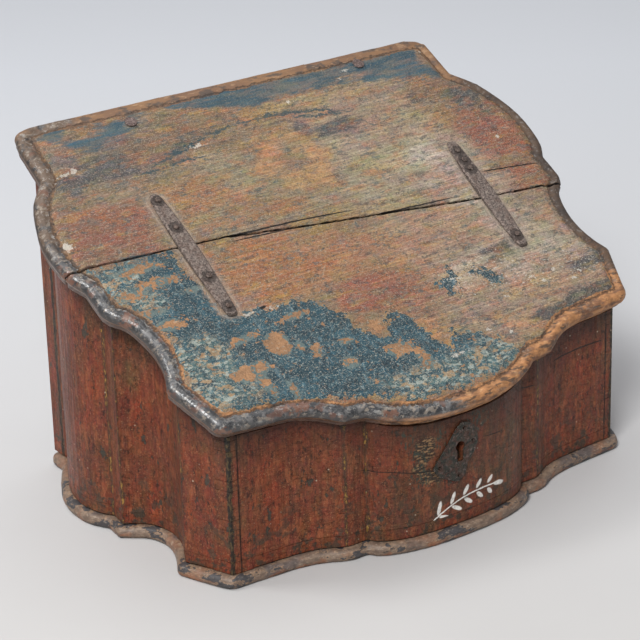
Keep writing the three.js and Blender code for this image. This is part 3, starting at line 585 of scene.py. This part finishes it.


# worn oil and distemper colours on pine: faded along the grain, flaked where thick, its bead grey and brown,
# with a painted sheen along its top
def lidPaint():
    material, tree, shader = newMaterial("wornLidPaint", 0.5, 0.0, 0.4)
    place = lidPlace(tree)
    blotch = partial(blotches, tree, place)
    rubbed = wobble(tree, place, (18, 3, 9), (4, 4, 4), (1.2, 5, 2))
    flaky = wobble(tree, place, (11, 1.2, 5), (4, 1, 3.6), (1.3, 1, 1.8))
    fine = wobble(tree, place, (5, 1, 1.3), (1.5, 1, 0.8))
    grain = blotch(0.9, 0.36, 0.64, 34, 3)
    streaks = blotch(2.6, 0.38, 0.62, 14, 5, 5.0)
    cloudy = blotch(14, 0.38, 0.62, 2.5, 5, 8.0)
    specks = blotch(0.8, 0.58, 0.64, 1.5, 2, 2.0)
    dots = blotch(2.4, 0.6, 0.64, 1.4, 3, 12.0)
    crestSheen, low, lip, under = heightMasks(tree, place, lidEdge)

    # the field: a thin ground, its coats and the ring of the wreath
    ring = bandOf(tree, "wreath", -4, 4, wobble(tree, place, (8, 1.3, 4), (2, 2, 2.6)))
    field = coats(tree, "#8a6b4d", [("#6f5845", 0.6, cloudy), ("#9c764d", 0.5, streaks)])
    for name, (colour, share, soft, outlines) in fieldCoats.items():
        field = coats(tree, field, [(colour, share, bandOf(tree, name, -soft, soft, rubbed))])
    field = coats(tree, field, [
        ("#c0925f", 0.65, ring),
        ("#c07d65", 0.55, ring, oval(tree, place, (-10, 238), (16, 13), 30, 0.5)),
        ("#45464f", 0.85, oval(tree, place, (33.5, 249.5), (7.5, 9.5), 10, 0.25)),
        ("#51605f", 0.6, oval(tree, place, (12, 238), (11, 5), -10, 0.5)),
        ("#b5622a", 0.4, blotch(9, 0.5, 0.62, 2.4, 6, 71.0)),
        ("#7a7f45", 0.3, blotch(10, 0.52, 0.64, 2.2, 6, 73.0)),
        ("#ad8a35", 0.35, blotch(7, 0.55, 0.63, 3, 6, 78.0)),
        ("#66696a", 0.42, blotch(8, 0.55, 0.63, 2, 6, 75.0)),
        ("#b3a698", 0.1),
    ])
    field = mottled(tree, field, place, 14, 1.6, 0.18, 0.9, 0.0, True)
    field = mottled(tree, field, place, 2.4, 1.5, 0.3, 1.0, 3.0)
    brushed = blotch(3, 0.36, 0.5, 4, 4, 79.0)
    strokes = [lineOf(tree, name, 1.4, 0.7, fine) for name in garland]
    field = coats(tree, field, [
        ("#36363a", 0.5, blotch(6, 0.56, 0.62, 2, 6, 91.0)),
        ("#c9b7a2", 0.3, blotch(1.6, 0.57, 0.64, 2.2, 4, 81.0)),
        ("#3d3025", 0.42, grain),
        ("#38474a", 0.6, dots),
        ("#4a5a5a", 0.55, blotch(6, 0.6, 0.63, 2, 6, 16.0)),
        ("#c9b59c", 0.45, blotch(0.7, 0.65, 0.7, 30, 2, 4.0, 22)),
        ("#c4ae94", 0.38, blotch(0.7, 0.66, 0.7, 24, 2, 9.0, -48)),
        ("#c4b4a0", 0.5, specks),
        ("#b58c5a", 0.2, ring, brushed),
    ] + [("#2f464c", 0.85, *stroke, brushed) for stroke in strokes])

    # the dark blue, flaked and chalky, and the marks over all
    blue = bandOf(tree, "blue", -0.5, 0.5, flaky)
    band = bandOf(tree, "blueBand", -5, 4, rubbed)
    pale = bandOf(tree, "paleBlue", -9, 9, flaky)
    flaked = bandOf(tree, "flakes", -0.4, 0.3, wobble(tree, place, (7, 1.2, 4.6), (2.2, 1, 2.4)))
    chips = blotch(5.5, 0.635, 0.65, 1.3, 6, 14.0)
    blueTone = coats(tree, "#173b47", [
        ("#295866", 0.5, cloudy),
        ("#4c6a68", 0.65, pale, blotch(8, 0.4, 0.56, 1.6, 5, 27.0)),
        ("#12252f", 0.6, blotch(5, 0.5, 0.6, 1, 6, 17.0)),
        ("#6a8b96", 0.35, blotch(5, 0.57, 0.64, (1, 3, 1), 5, 19.0)),
        ("#87958a", 0.35, pale, veins(tree, place, 5, 0.014, 1, 3.0)),
        ("#7d9696", 0.45, veins(tree, place, 8, 0.008, 1, 9.0)),
        ("#93a09a", 0.45, blotch(2.0, 0.585, 0.62, 1.2, 6, 23.0)),
        ("#a0a89f", 0.8, pale, blotch(4.2, 0.555, 0.58, 1.5, 6, 24.0)),
        ("#a3845f", 0.8, pale, blotch(6, 0.555, 0.585, 1.4, 6, 26.0)),
        ("#a79a82", 0.6, pale, blotch(2.4, 0.565, 0.6, 1.3, 6, 29.0)),
        ("#c9c0b0", 0.6, specks),
    ])
    blueTone = mottled(tree, blueTone, place, 4, 1.2, 0.28, 1.1, 6.0)
    bandTone = coats(tree, "#32586a", [
        ("#55635c", 0.55, streaks), ("#233d4a", 0.6, cloudy), ("#a19a8a", 0.45, specks)])
    tanTone = coats(tree, "#a57b57", [("#87694f", 0.7, cloudy), ("#9c8d7b", 0.6, dots)])
    tanTone = mottled(tree, tanTone, place, 3, 1, 0.35)
    chalkEdge = wobble(tree, place, (3, 1, 1.6), (1.2, 1, 1.2))
    halo = [bandOf(tree, "strapHalo", -0.9, -0.5, fine), bandOf(tree, "strapHalo", 0.3, -0.1)]
    colour = coats(tree, field, [
        ("#3f5a63", 0.6, band),
        (bandTone, 0.85, band, blotch(5, 0.42, 0.56, 6, 6, 77.0)),
        ("#a98a62", 0.45, bandOf(tree, "blue", -2.4, -0.6, flaky)),
        (blueTone, 0.97, blue),
        ("#6d7a75", 0.7, blue, bandOf(tree, "flakes", -2.6, -0.8, fine)),
        (tanTone, 0.9, blue, chips),
        (tanTone, 1.0, flaked),
        ("#cfc8bc", 0.7, bandOf(tree, "chalk", -0.2, 0.6, chalkEdge)),
        ("#d0c9bd", 0.65, bandOf(tree, "chalkyPatch", -6, 4, rubbed),
         blotch(1.5, 0.59, 0.63, 1.5, 5, 97.0)),
        ("#9c8d80", 0.42, bandOf(tree, "strapHalo", -4.5, -1.0, fine)),
        ("#b5a18e", 0.4, *halo),
        ("#181310", 1.0, oval(tree, place, (-104, 93.4), (3.2, 1.3), 8, 0.3)),
    ])

    # the bead: slate-grey, brown or dark over worn wood, with a sunk step and a dark line inside it
    slateEdge = bandOf(tree, "slateEdge", -6, 6, rubbed)
    brownEdge = bandOf(tree, "brownEdge", -14, 14, rubbed)
    frontEdge = bandOf(tree, "frontEdge", -10, 10, rubbed)
    offRight = bandOf(tree, "rightEdge", 8, -8, rubbed)
    atBead = bandOf(tree, "inset", 11.2, 10.4, fine)
    atStep = bandOf(tree, "inset", 13.9, 13.3, wobble(tree, place, (16, 1, 1.1), (3, 1, 0.5)))
    noses = bandOf(tree, "rubbedNoses", -1, 1, wobble(tree, place, (9, 1, 3), (3, 1, 2)))
    wornEdge = coats(tree, "#765842", [
        ("#8b6847", 0.7, cloudy),
        ("#443f3c", 0.75, blotch(7, 0.5, 0.6, 1.6, 5, 51.0)),
        ("#a78768", 0.5, blotch(4, 0.56, 0.66, 2, 5, 53.0))])
    darkEdge = coats(tree, "#332b27", [
        ("#64503f", 0.5, cloudy), ("#85817c", 0.45, blotch(3, 0.56, 0.64, 1, 5, 55.0))])
    slateTone = coats(tree, "#28282a", [
        # paler grey and pale specks on the bead's top are a painted sheen and painted glints
        ("#6a6765", 0.65, crestSheen, blotch(8, 0.46, 0.58, 1, 6, 31.0)),
        ("#161617", 0.7, blotch(5, 0.5, 0.58, 1, 6, 33.0)),
        ("#64503f", 0.8, brownEdge, blotch(9, 0.36, 0.5, 1, 6, 34.0)),
        ("#664130", 0.6, blotch(13, 0.56, 0.61, 1, 6, 35.0)),
        ("#8d8071", 0.6, blotch(4, 0.555, 0.6, 1.6, 6, 36.0)),
        ("#a3a09b", 0.5, crestSheen, blotch(5, 0.6, 0.64, (1.4, 1.4, 1), 6, 37.0)),
        ("#b3aea6", 0.45, veins(tree, place, 12, 0.006, 1, 5.0))])
    slateTone = mottled(tree, slateTone, place, 12, 1, 0.3, 1.1, 8.0)
    orangeTone = coats(tree, "#a8764c", [
        ("#614336", 0.7, blotch(6, 0.48, 0.6, 3.5, 6, 41.0)),
        ("#c3976a", 0.6, blotch(4, 0.56, 0.66, 1, 5, 43.0)),
        ("#35302d", 0.8, blotch(5, 0.565, 0.61, 3.5, 6, 47.0))])
    orangeTone = mottled(tree, orangeTone, place, 3.5, 1.8, 0.55, 1.1, 11.0)
    wood = coats(tree, wornEdge, [(orangeTone, 0.95, bandOf(tree, "orangeEdge", -8, 8, flaky))])
    lowTone = coats(tree, "#4a3931", [("#6d4c38", 0.6, streaks), (orangeTone, 1.0, frontEdge)])
    bead = coats(tree, wornEdge, [
        (orangeTone, 0.9, frontEdge),
        (slateTone, 0.5, frontEdge, blotch(7, 0.51, 0.57, 4, 6, 57.0)),
        (darkEdge, 0.9, bandOf(tree, "rightEdge", -8, 8, rubbed)),
        (slateTone, 1.0, slateEdge),
        ("#2b211c", 0.6, under, slateEdge),
        (orangeTone, 0.85, under, frontEdge),
        ("#70452e", 0.75, noses, blotch(5, 0.42, 0.5, 1, 6, 59.0))])
    wave = wobble(tree, place, (2.5, 1.5, 0.35))
    gaps = [lineOf(tree, name, 1.1, 0.6, wave) for name in cracks]
    colour = coats(tree, colour, [
        (wood, 0.92, atStep, offRight),
        ("#2a211b", 0.6, bandOf(tree, "inset", 12.7, 12.1, fine)),
        (bead, 1.0, atBead),
        ("#96704f", 0.6, lip),
        (lowTone, 1.0, low),
    ] + [("#120d0a", 0.97, *gap) for gap in gaps])

    gloss = coats(tree, 0.5, [
        (0.38, 1.0, blue), (0.62, 1.0, flaked), (0.6, 0.5, cloudy), (0.3, 0.95, atBead, slateEdge),
        (0.55, 0.85, atBead, blotch(5, 0.5, 0.56, 1, 5, 65.0)), (0.52, 0.85, atBead, brownEdge)])
    tree.links.new(gloss, shader.inputs["Roughness"])
    shine = coats(tree, 0.4, [(1.0, 1.0, atBead, slateEdge), (0.4, 0.8, atBead, brownEdge)])
    tree.links.new(shine, shader.inputs["Specular IOR Level"])
    offBead = addNode(tree, "Math", {0: 1.0, 1: atBead}, operation="SUBTRACT")
    dress(tree, shader, colour, 0.7, [
        (0.35, blue), (-0.35, flaked), (-0.2, chips), (-0.4, offBead, grain), (0.25, offBead, specks),
        (0.5, offBead, blotch(2.4, 0.4, 0.6, 1, 4, 61.0)),
        (0.2, atBead, blotch(6, 0.36, 0.64, 1, 3, 63.0)),
    ] + [(-2.0, *gap) for gap in gaps])
    return material


rimPoints = {"near": 0.03, "apart": 1.5}  # mm; taken along the edges that lie on the lid's widest line


# distance in mm inwards from the lid's widest line
def storeInset(pieces, nodes):
    points = []
    for node in nodes:
        places = toLid(placesInMm(frame["nodes"][node]))
        for edge in frame["nodes"][node].data.edges:
            a, b = (places[i] for i in edge.vertices)
            if max(abs(a[2] - lidPlane["widest"]), abs(b[2] - lidPlane["widest"])) < rimPoints["near"]:
                steps = max(1, round(np.linalg.norm(b - a) / rimPoints["apart"]))
                points += [a[:2] + (b[:2] - a[:2]) * k / steps for k in range(steps + 1)]
    near = KDTree(len(points))
    for i, point in enumerate(points):
        near.insert((point[0], point[1], 0), i)
    near.balance()
    for piece in pieces:
        flat = toLid(placesInMm(piece))
        storeReach(piece, "inset", [min(farOff, near.find((p[0], p[1], 0))[2]) for p in flat])


straps = {  # centre lines and half width of the two iron straps, in the lid's plane
    "left": [(-126.5, 224), (-131, 93), 8.25],
    "right": [(147.5, 195.5), (139.5, 75), 8.25],
}


# distance in mm inwards from the rim of the nearer strap, negative outside both
def strapReach(flat):
    halo = np.full(len(flat), -farOff)
    for top, bottom, half in straps.values():
        a, run = np.array(top), np.array(bottom) - np.array(top)
        margin = half / np.linalg.norm(run)
        share = np.clip(((flat - a) @ run) / (run @ run), margin, 1 - margin)
        halo = np.maximum(halo, half - np.linalg.norm(flat - a - share[:, None] * run, axis=1))
    return halo


def storeLidDrawing(piece):
    flat = toLid(placesInMm(piece))[:, :2]
    for name, (colour, share, soft, outlines) in fieldCoats.items():
        storeReach(piece, name, outlineReach(flat, outlines))
    for name, outlines in lidDrawing.items():
        storeReach(piece, name, outlineReach(flat, outlines))
    for name, spots in lidSpots.items():
        storeReach(piece, name, spotReach(flat, spots))
    for name, (line, halfWidth, taper) in (cracks | garland).items():
        storeReach(piece, name, lineReach(flat, line, halfWidth, taper))
    off = flat - np.array(wreath["centre"])
    angle = np.arctan2(off[:, 1], off[:, 0])
    ring = np.abs(np.hypot(off[:, 0], off[:, 1] * wreath["squash"]) - wreath["radius"])
    petals = wreath["petalDepth"] * np.cos(wreath["petals"] * angle)
    storeReach(piece, "wreath", wreath["band"] + petals - ring)
    storeReach(piece, "strapHalo", strapReach(flat))


lidWork = {"cell": 1.55, "dents": [(40, 0.8), (9, 0.35)]}
lidColours = lidPaint()

lidBoards = []
for node in ("lid_rear_board", "lid_front_board"):
    board = wornCopy(node, lidWork)
    board.data.materials.append(lidColours)
    storeLidDrawing(board)
    lidBoards.append(board)
storeInset(lidBoards, ("lid_rear_board", "lid_front_board"))
print("lid boards")


# case

def placeInMm(tree):
    place = addNode(tree, "TexCoord", out="Object")
    scaled = addNode(tree, "Mapping", {"Vector": place, "Scale": (1000, 1000, 1000)})
    return scaled


# aged pine inside the box: brown with oxidation, straight grain along the boards, dusty
def barePine():
    material, tree, shader = newMaterial("agedBarePine", 0.8, 0.0, 0.25)
    blotch = partial(blotches, tree, placeInMm(tree))
    grain = blotch(2.2, 0.3, 0.7, (40, 2, 1), 4)
    pores = blotch(0.8, 0.55, 0.7, (24, 2, 1), 3, 9.0)
    colour = coats(tree, "#8a6a48", [
        ("#6b4f34", 0.8, grain), ("#9a7a55", 0.5, blotch(45, 0.3, 0.7)),
        ("#4a3828", 0.35, blotch(18, 0.52, 0.7, 2, 6, 3.0)), ("#57402b", 0.6, pores)])
    dress(tree, shader, colour, 0.25, [(1.0, grain), (-0.6, pores)])
    return material


uprights = {  # upright lines of the case, in plan
    "cusps": [(94.5, -134), (76, -135.5), (205, -76.5), (210, 3.5), (207.5, 20.5)],
    "corners": [(187, -116), (184.5, 136)],
    "boardEnds": [(179.6, -116.5)],
}
caseHeights = {"low": (75.0, 20.0), "foot": (27.0, 21.0)}  # worn most at the bottom
scuffed = {"right": 120.0, "left": -60.0, "least": 0.25}  # the scuffs grow from right to left
lidShadowReach = (30, 3)  # the painted shadow below the lid starts and is full so far from it
frontMarks = {  # x across, z up
    "face": -114.0,  # the outer face lies before this y
    "splits": {
        "splitA": ([(-88, 72), (-62, 69), (-40, 64), (-20, 62)], 0.45, (10, 6)),
        "splitB": ([(118, 99), (130, 100.5), (150, 101.5), (176, 101)], 0.8, (6, 4)),
        "splitC": ([(72, 94.5), (82, 93), (92, 92.5)], 0.7, (3, 5)),
        "splitD": ([(20, 77), (34, 75.5), (44, 75)], 0.5, (4, 6)),
    },
    "chips": [((-34, 82), (9, 12), 0), ((-29, 58.5), (12, 6), -8), ((-40, 68), (5, 6), 20)],
    "green": [
        ((-48, 92), (11, 5), -55), ((-40, 78), (8, 11), 20), ((-38, 58), (10, 8), 0),
        ((-20, 88), (7, 10), 0), ((14, 92), (13, 10), 0), ((-14, 52), (9, 5), 0)],
    "shade": ((0, 70), (85, 55), 0, 0.6),  # a darker area: centre, half sizes, turn, softness
    "torn": 14,  # how far noise moves the edges of the chips
    "brushed": 1.2,  # and of the sprig
}
sprig = {  # a plain brush sprig below the keyhole: an arched stem and its leaves
    "centre": (22, -62), "radius": 96.0, "from": -32, "to": 34, "halfStem": 0.62,
    "leaves": (-23, -11, 1, 13, 24), "leaf": (5.6, 1.7), "lean": 48, "gap": 1.2, "shrink": 0.5,
    "tip": (5.5, 2.0), "tipTurn": -12, "root": (1.7, 1.7), "rootHeight": 15.5,
    "window": (27, 60),  # middle and half height of where the arch shows
}


# brush strokes of the sprig, in a place with x across and z up as its first two coordinates
def sprigStrokes(tree, flat):
    cx, cz = sprig["centre"]
    off = addNode(tree, "VectorMath", {0: flat, 1: (cx, cz, 0)}, operation="SUBTRACT")
    far = addNode(tree, "VectorMath", {0: off}, "Value", operation="LENGTH")
    stem = addNode(tree, "Math", {0: far, 1: sprig["radius"], 2: sprig["halfStem"]}, operation="COMPARE")
    middle, reach = (sprig["from"] + sprig["to"]) / 2, (sprig["to"] - sprig["from"]) / 2
    height, tall = sprig["window"]
    total = coverOf(tree, stem, [oval(tree, flat, (middle, height), (reach, tall), 0, 0.02)])
    length, half = sprig["leaf"]
    ovals = []
    for number, x in enumerate(sprig["leaves"]):
        z = cz + math.sqrt(sprig["radius"] ** 2 - (x - cx) ** 2)
        for side in (1, -1):
            turn = math.degrees(math.atan2(cx - x, z - cz)) + side * sprig["lean"]
            along = length + sprig["gap"]
            at = (x + along * math.cos(math.radians(turn)), z + along * math.sin(math.radians(turn)))
            ovals.append((at, (length - sprig["shrink"] * number, half), turn))
    end = cz + math.sqrt(sprig["radius"] ** 2 - (sprig["to"] - cx) ** 2)
    ovals.append(((sprig["to"] + 4, end - 1), sprig["tip"], sprig["tipTurn"]))
    ovals.append(((sprig["from"] - 2, sprig["rootHeight"]), sprig["root"], 0))
    for at, size, turn in ovals:
        stroke = oval(tree, flat, at, size, turn, 0.2)
        total = addNode(tree, "Math", {0: total, 1: stroke}, operation="MAXIMUM")
    return total


# brown-red oil paint on pine: upright brush streaks, rubbed lines, dark scuffs, pale spatter, and a painted
# shadow below the lid
def redPaint(name, front=False):
    material, tree, shader = newMaterial(name, 0.42, 0.0, 0.28)
    place = placeInMm(tree)
    blotch = partial(blotches, tree, place)
    parts = addNode(tree, "SeparateXYZ", {0: place}).node.outputs
    streaks = blotch(4, 0.36, 0.64, (1, 1, 18), 4)
    fineStreaks = blotch(1.1, 0.34, 0.66, (1, 1, 22), 3, 4.0)
    level = blotch(0.9, 0.5, 0.66, (14, 14, 1), 4, 6.0)
    dust = blotch(2.2, 0.58, 0.68, (1, 1, 1.3), 5, 18.0)
    scuffs = blotch(9, 0.625, 0.65, (1, 1, 1.8), 6, 11.0)
    flecks = blotch(1.7, 0.5, 0.58, (1, 1, 2.5), 4, 22.0)
    crackle = veins(tree, place, 7, 0.009, (2.2, 2.2, 1), 12.0)
    low, foot = heightMasks(tree, place, caseHeights)
    leftward = addNode(tree, "MapRange",
                       {"Value": parts[0], "From Min": scuffed["right"],
                        "From Max": scuffed["left"], "To Min": scuffed["least"]})
    # how far a point lies below the lid's underside, for the painted shadow there
    outwards = addNode(tree, "VectorMath", {0: place, 1: lidOutwards}, "Value", operation="DOT_PRODUCT")
    paintedLidShadow = addNode(tree, "MapRange",
                       {"Value": outwards,
                        "From Min": underside - lidShadowReach[0], "From Max": underside - lidShadowReach[1]})
    spots = addNode(tree, "TexVoronoi", {"Vector": place, "Scale": 0.1, "Randomness": 1.0}, "Distance")
    spatter = addNode(tree, "MapRange", {"Value": spots, "From Min": 0.085, "From Max": 0.055})
    edge = wobble(tree, place, (6, (1, 1, 2), 1.0), (1.6, (1, 1, 2), 0.7))
    cuspCore = bandOf(tree, "cusps", 1.1, 0.4, edge)
    corner = bandOf(tree, "corners", 2.8, 1.6, edge)
    boardEnd = bandOf(tree, "boardEnds", 1.0, 0.5, wobble(tree, place, (9, (1, 1, 2), 0.35)))
    colour = coats(tree, "#673626", [
        ("#7d4129", 0.75, blotch(55, 0.4, 0.6, (1, 1, 1.3), 4, 1.0)),
        ("#85371f", 0.55, blotch(26, 0.48, 0.62, (1, 1, 2), 5, 7.0)),
        ("#5f4a32", 0.62, blotch(38, 0.5, 0.66, (1, 1, 1.5), 4, 15.0)),
        ("#3f231a", 0.4, streaks),
        ("#8a5234", 0.14, fineStreaks),
        ("#45261d", 0.16, level),
        ("#8b6a48", 0.22, dust)])
    colour = mottled(tree, colour, place, 9, (1, 1, 2), 0.3, 0.8, 0.0, True)
    colour = mottled(tree, colour, place, 2.2, (1, 1, 1.6), 0.4, 1.0, 5.0)
    colour = coats(tree, colour, [
        ("#2b1b15", 0.65, blotch(3.2, 0.57, 0.63, (1, 1, 2.2), 6, 43.0)),
        ("#9a5838", 0.5, blotch(5, 0.55, 0.64, (1, 1, 3), 5, 45.0)),
        ("#2c1a14", 0.28, crackle),
        ("#a97a58", 0.5, blotch(1.3, 0.6, 0.66, 1, 3, 33.0)),
        ("#383b34", 0.85, scuffs, leftward),
        # painted shadow on the walls just below the lid's overhang
        ("#2c1a14", 0.65, paintedLidShadow),
        ("#1f1712", 0.8, boardEnd),
        ("#38362d", 0.75, blotch(9, 0.54, 0.59, (1.2, 1.2, 1), 6, 5.0), low),
        ("#7d5a3c", 0.35, foot, dust),
        ("#3a3228", 0.6, bandOf(tree, "cusps", 2.2, 1.0, edge)),
        ("#a9833f", 0.75, cuspCore, flecks),
        ("#1f201c", 0.9, corner),
        ("#8f7346", 0.25, corner, flecks),
        ("#cdb9a0", 0.6, spatter, blotch(30, 0.45, 0.55, 1, 3, 37.0))])
    shares = [(0.5, streaks), (0.25, fineStreaks), (-0.25, level), (0.25, spatter), (-0.6, scuffs),
              (-0.4, cuspCore), (-0.5, crackle)]
    if front:
        flat = addNode(tree, "CombineXYZ", {0: parts[0], 1: parts[2]})
        outer = addNode(tree, "Math",
                        {0: parts[1], 1: frontMarks["face"]}, operation="LESS_THAN")
        shift = addNode(tree, "TexNoise", {"Vector": place, "Scale": 0.3, "Detail": 4.0}, "Color")
        reach = frontMarks["torn"]
        torn = addNode(tree, "VectorMath",
                       {0: shift, 1: (reach, reach, 0), 2: flat},
                       operation="MULTIPLY_ADD")
        torn = addNode(tree, "VectorMath",
                       {0: torn, 1: (-reach / 2, -reach / 2, 0)}, operation="ADD")
        reach = frontMarks["brushed"]
        brushed = addNode(tree, "VectorMath",
                          {0: shift, 1: (reach, reach, 0), 2: flat},
                          operation="MULTIPLY_ADD")
        fibres = blotch(1.7, 0.5, 0.57, 2.6, 6, 25.0)
        white = sprigStrokes(tree, brushed)
        shares.append((0.3, white))
        shade = oval(tree, flat, *frontMarks["shade"])
        layers = [("#453a2b", 0.3, shade, blotch(16, 0.36, 0.56, (1, 1, 1.6), 5, 35.0), outer)]
        for chip in frontMarks["chips"]:
            bare = oval(tree, torn, *chip, 0.3)
            layers += [("#29251f", 0.85, bare), ("#957452", 0.85, bare, fibres)]
            shares.append((-0.9, bare))
        for patch in frontMarks["green"]:
            layers.append(("#353e36", 0.85, oval(tree, torn, *patch, 0.3), flecks))
        for split in frontMarks["splits"]:
            layers.append(("#1d1410", 0.9, *lineOf(tree, split, 1.0, 0.6), outer))
        colour = coats(tree, colour, layers + [
            ("#e9e6df", 0.95, white, outer),
            ("#8a4a38", 0.4, white, outer, blotch(1.2, 0.62, 0.7, 1, 3, 29.0))])
    gloss = addNode(tree, "MapRange", {"Value": streaks, "To Min": 0.36, "To Max": 0.5})
    tree.links.new(gloss, shader.inputs["Roughness"])
    dress(tree, shader, colour, 0.5, shares)
    return material


plinthWork = {"cell": 2.0, "dents": [(30, 0.9), (8, 0.4)]}
plinthHeights = {"low": (5.5, 1.5), "top": (10.0, 13.5)}


# dark grey paint chipped off a grey-brown ground, warmer at the foot and paler on top
def plinthPaint():
    material, tree, shader = newMaterial("chippedPlinthPaint", 0.5)
    place = placeInMm(tree)
    blotch = partial(blotches, tree, place)
    grain = blotch(2.0, 0.34, 0.66, (10, 4, 1), 4)
    spots = blotch(11, 0.545, 0.565, (1.9, 1.9, 0.8), 6, 3.0)
    orange = blotch(16, 0.48, 0.6, (1.5, 1.5, 0.8), 5, 9.0)
    pale = blotch(1.6, 0.56, 0.66, (2, 2, 1), 4, 5.0)
    low, top = heightMasks(tree, place, plinthHeights)
    colour = coats(tree, "#826d5b", [
        ("#5b4a42", 0.6, grain),
        ("#8a5d43", 0.5, orange),
        ("#a89580", 0.65, top),
        ("#4a484c", 0.6, blotch(60, 0.52, 0.6, 1, 3, 6.0)),
        ("#96795f", 0.75, blotch(11, 0.525, 0.54, (1.9, 1.9, 0.8), 6, 3.0)),
        ("#35373c", 0.92, spots),
        ("#99582f", 0.65, low, orange),
        ("#b9a793", 0.3, pale)])
    colour = mottled(tree, colour, place, 3, (1.5, 1.5, 1), 0.5, 1.0)
    dress(tree, shader, colour, 0.5, [(0.5, spots), (0.3, grain), (0.3, pale)])
    return material


# forged iron under old varnish: brown-grey, pitted, with paler rubbed high spots
def forgedIron(name, base, dark, rubbedColour, metallic, roughness, kind=""):
    material, tree, shader = newMaterial(name, roughness, metallic)
    place = placeInMm(tree)
    blotch = partial(blotches, tree, place)
    pits = blotch(1.5, 0.36, 0.56, 1, 4)
    rubbed = blotch(2.6, 0.54, 0.66, 1, 4, 6.0)
    colour = coats(tree, dark, [
        (base, 0.9, pits),
        ("#5f4538", 0.35, blotch(6, 0.45, 0.62, 1, 5, 2.0)),
        (rubbedColour, 0.6, rubbed)])
    colour = mottled(tree, colour, place, 2, 1, 0.25, 0.6)
    shares = [(0.7, pits), (0.4, rubbed)]
    if kind == "strap":  # dark rings where the nails sit, and a dark rim
        edge = wobble(tree, place, (3, 1, 0.6), (1, 1, 0.4))
        ring = bandOf(tree, "nails", 6.6, 5.2, edge)
        rim = bandOf(tree, "rim", 1.5, 0.8, edge)
        colour = coats(tree, colour, [("#332a26", 0.75, ring), ("#453a34", 0.7, rim)])
        shares += [(-0.9, ring), (-0.5, rim)]
    if kind == "plate":  # paint left on the iron
        colour = coats(tree, colour, [("#5f3427", 0.35, blotch(5, 0.5, 0.56, 1, 5, 8.0))])
    dress(tree, shader, colour, 0.5, shares)
    return material


pine = barePine()
sidePaint = redPaint("brownRedOilPaint")
frontPaint = redPaint("brownRedOilPaintFront", True)
plinthGrey = plinthPaint()
strapIron = forgedIron("pittedStrapIron", "#82736a", "#4e443f", "#a29488", 0.25, 0.5, "strap")
nailIron = forgedIron("sunkNailIron", "#66574f", "#3a312c", "#94857a", 0.3, 0.55)
rivetIron = forgedIron("filedRivetIron", "#76645f", "#4a3d39", "#a8958d", 0.3, 0.5)
plateIron = forgedIron("blackenedPlateIron", "#35362e", "#1f1f1b", "#83706a", 0.3, 0.4, "plate")
lockIron = forgedIron("oiledLockIron", "#5a534c", "#3a342f", "#8a8076", 0.7, 0.45)

caseCells = {
    "front_board": 1.25, "left_side_board": 1.35, "right_side_board": 1.35, "back_board": 2.4,
    "floor_board": 1.7,
}
caseDents = [(40, 0.8), (9, 0.35)]
joints = {"low": 16.5, "high": 22.6, "side": 169, "front": -101, "back": 132}
inner = {"side": 173.8, "front": 13.3 - lidPlane["shift"], "back": 257.8 - lidPlane["shift"], "floor": 18.5}


def isInside(at, normal):
    return abs(at.x) < inner["side"] and inner["front"] < at.y < inner["back"] and at.z > inner["floor"]


for board in lidBoards:
    paintFaces(board, pine, lambda at, normal: normal.dot(lidOutwards) < -0.85)  # its underside


# where two boards of the case meet
def atJoint(at):
    atCorner = abs(at.x) > joints["side"] and (at.y < joints["front"] or at.y > joints["back"])
    return atCorner or joints["low"] < at.z < joints["high"]


for node, cell in caseCells.items():
    board = wornCopy(node, {"cell": cell, "dents": caseDents}, atJoint)
    board.data.materials.append(frontPaint if node == "front_board" else sidePaint)
    flat = placesInMm(board)
    for name, found in uprights.items():
        far = [np.hypot(np.abs(flat[:, 0]) - x, flat[:, 1] - y) for x, y in found]
        storeReach(board, name, np.minimum(np.min(far, axis=0), 40))
    if node == "front_board":
        for name, (line, halfWidth, taper) in frontMarks["splits"].items():
            storeReach(board, name, lineReach(flat[:, (0, 2)], line, halfWidth, taper))
    paintFaces(board, pine, isInside)
plinth = wornCopy("plinth_board", plinthWork)
plinth.data.materials.append(plinthGrey)
print("case boards")


# iron

ironWork = {"cell": 0.5, "dents": [(3.0, 0.35)]}
lockWork = {"cell": 0.7, "dents": []}  # hidden, and left smooth
ironFinish = {"strap_nail": nailIron, "strap": strapIron, "rivet": rivetIron, "escutcheon": plateIron}
slots = {s["node"]: s["material_slot"] for s in frame["record"]["subparts"]}
for node in sorted(frame["nodes"]):
    if slots[node] != "wrought_iron":
        continue
    finish = next((ironFinish[key] for key in ironFinish if key in node), lockIron)
    worked = wornCopy(node, lockWork if finish is lockIron else ironWork)
    worked.data.materials.append(finish)
    if finish is strapIron:
        flat = toLid(placesInMm(worked))[:, :2]
        nails = [n for n in frame["nodes"] if n.startswith(node + "_nail")]
        heads = toLid(np.array([np.mean(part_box(n), axis=0) for n in nails]) / mm)[:, :2]
        storeReach(worked, "nails", np.min([np.linalg.norm(flat - h, axis=1) for h in heads], axis=0))
        storeReach(worked, "rim", strapReach(flat))
print("iron")

counts = {o.name: len(o.data.polygons) * 2 for o in bpy.data.objects if o.name.endswith("_worn")}
print("triangles", sum(counts.values()), sorted(counts.items(), key=lambda c: -c[1])[:9])
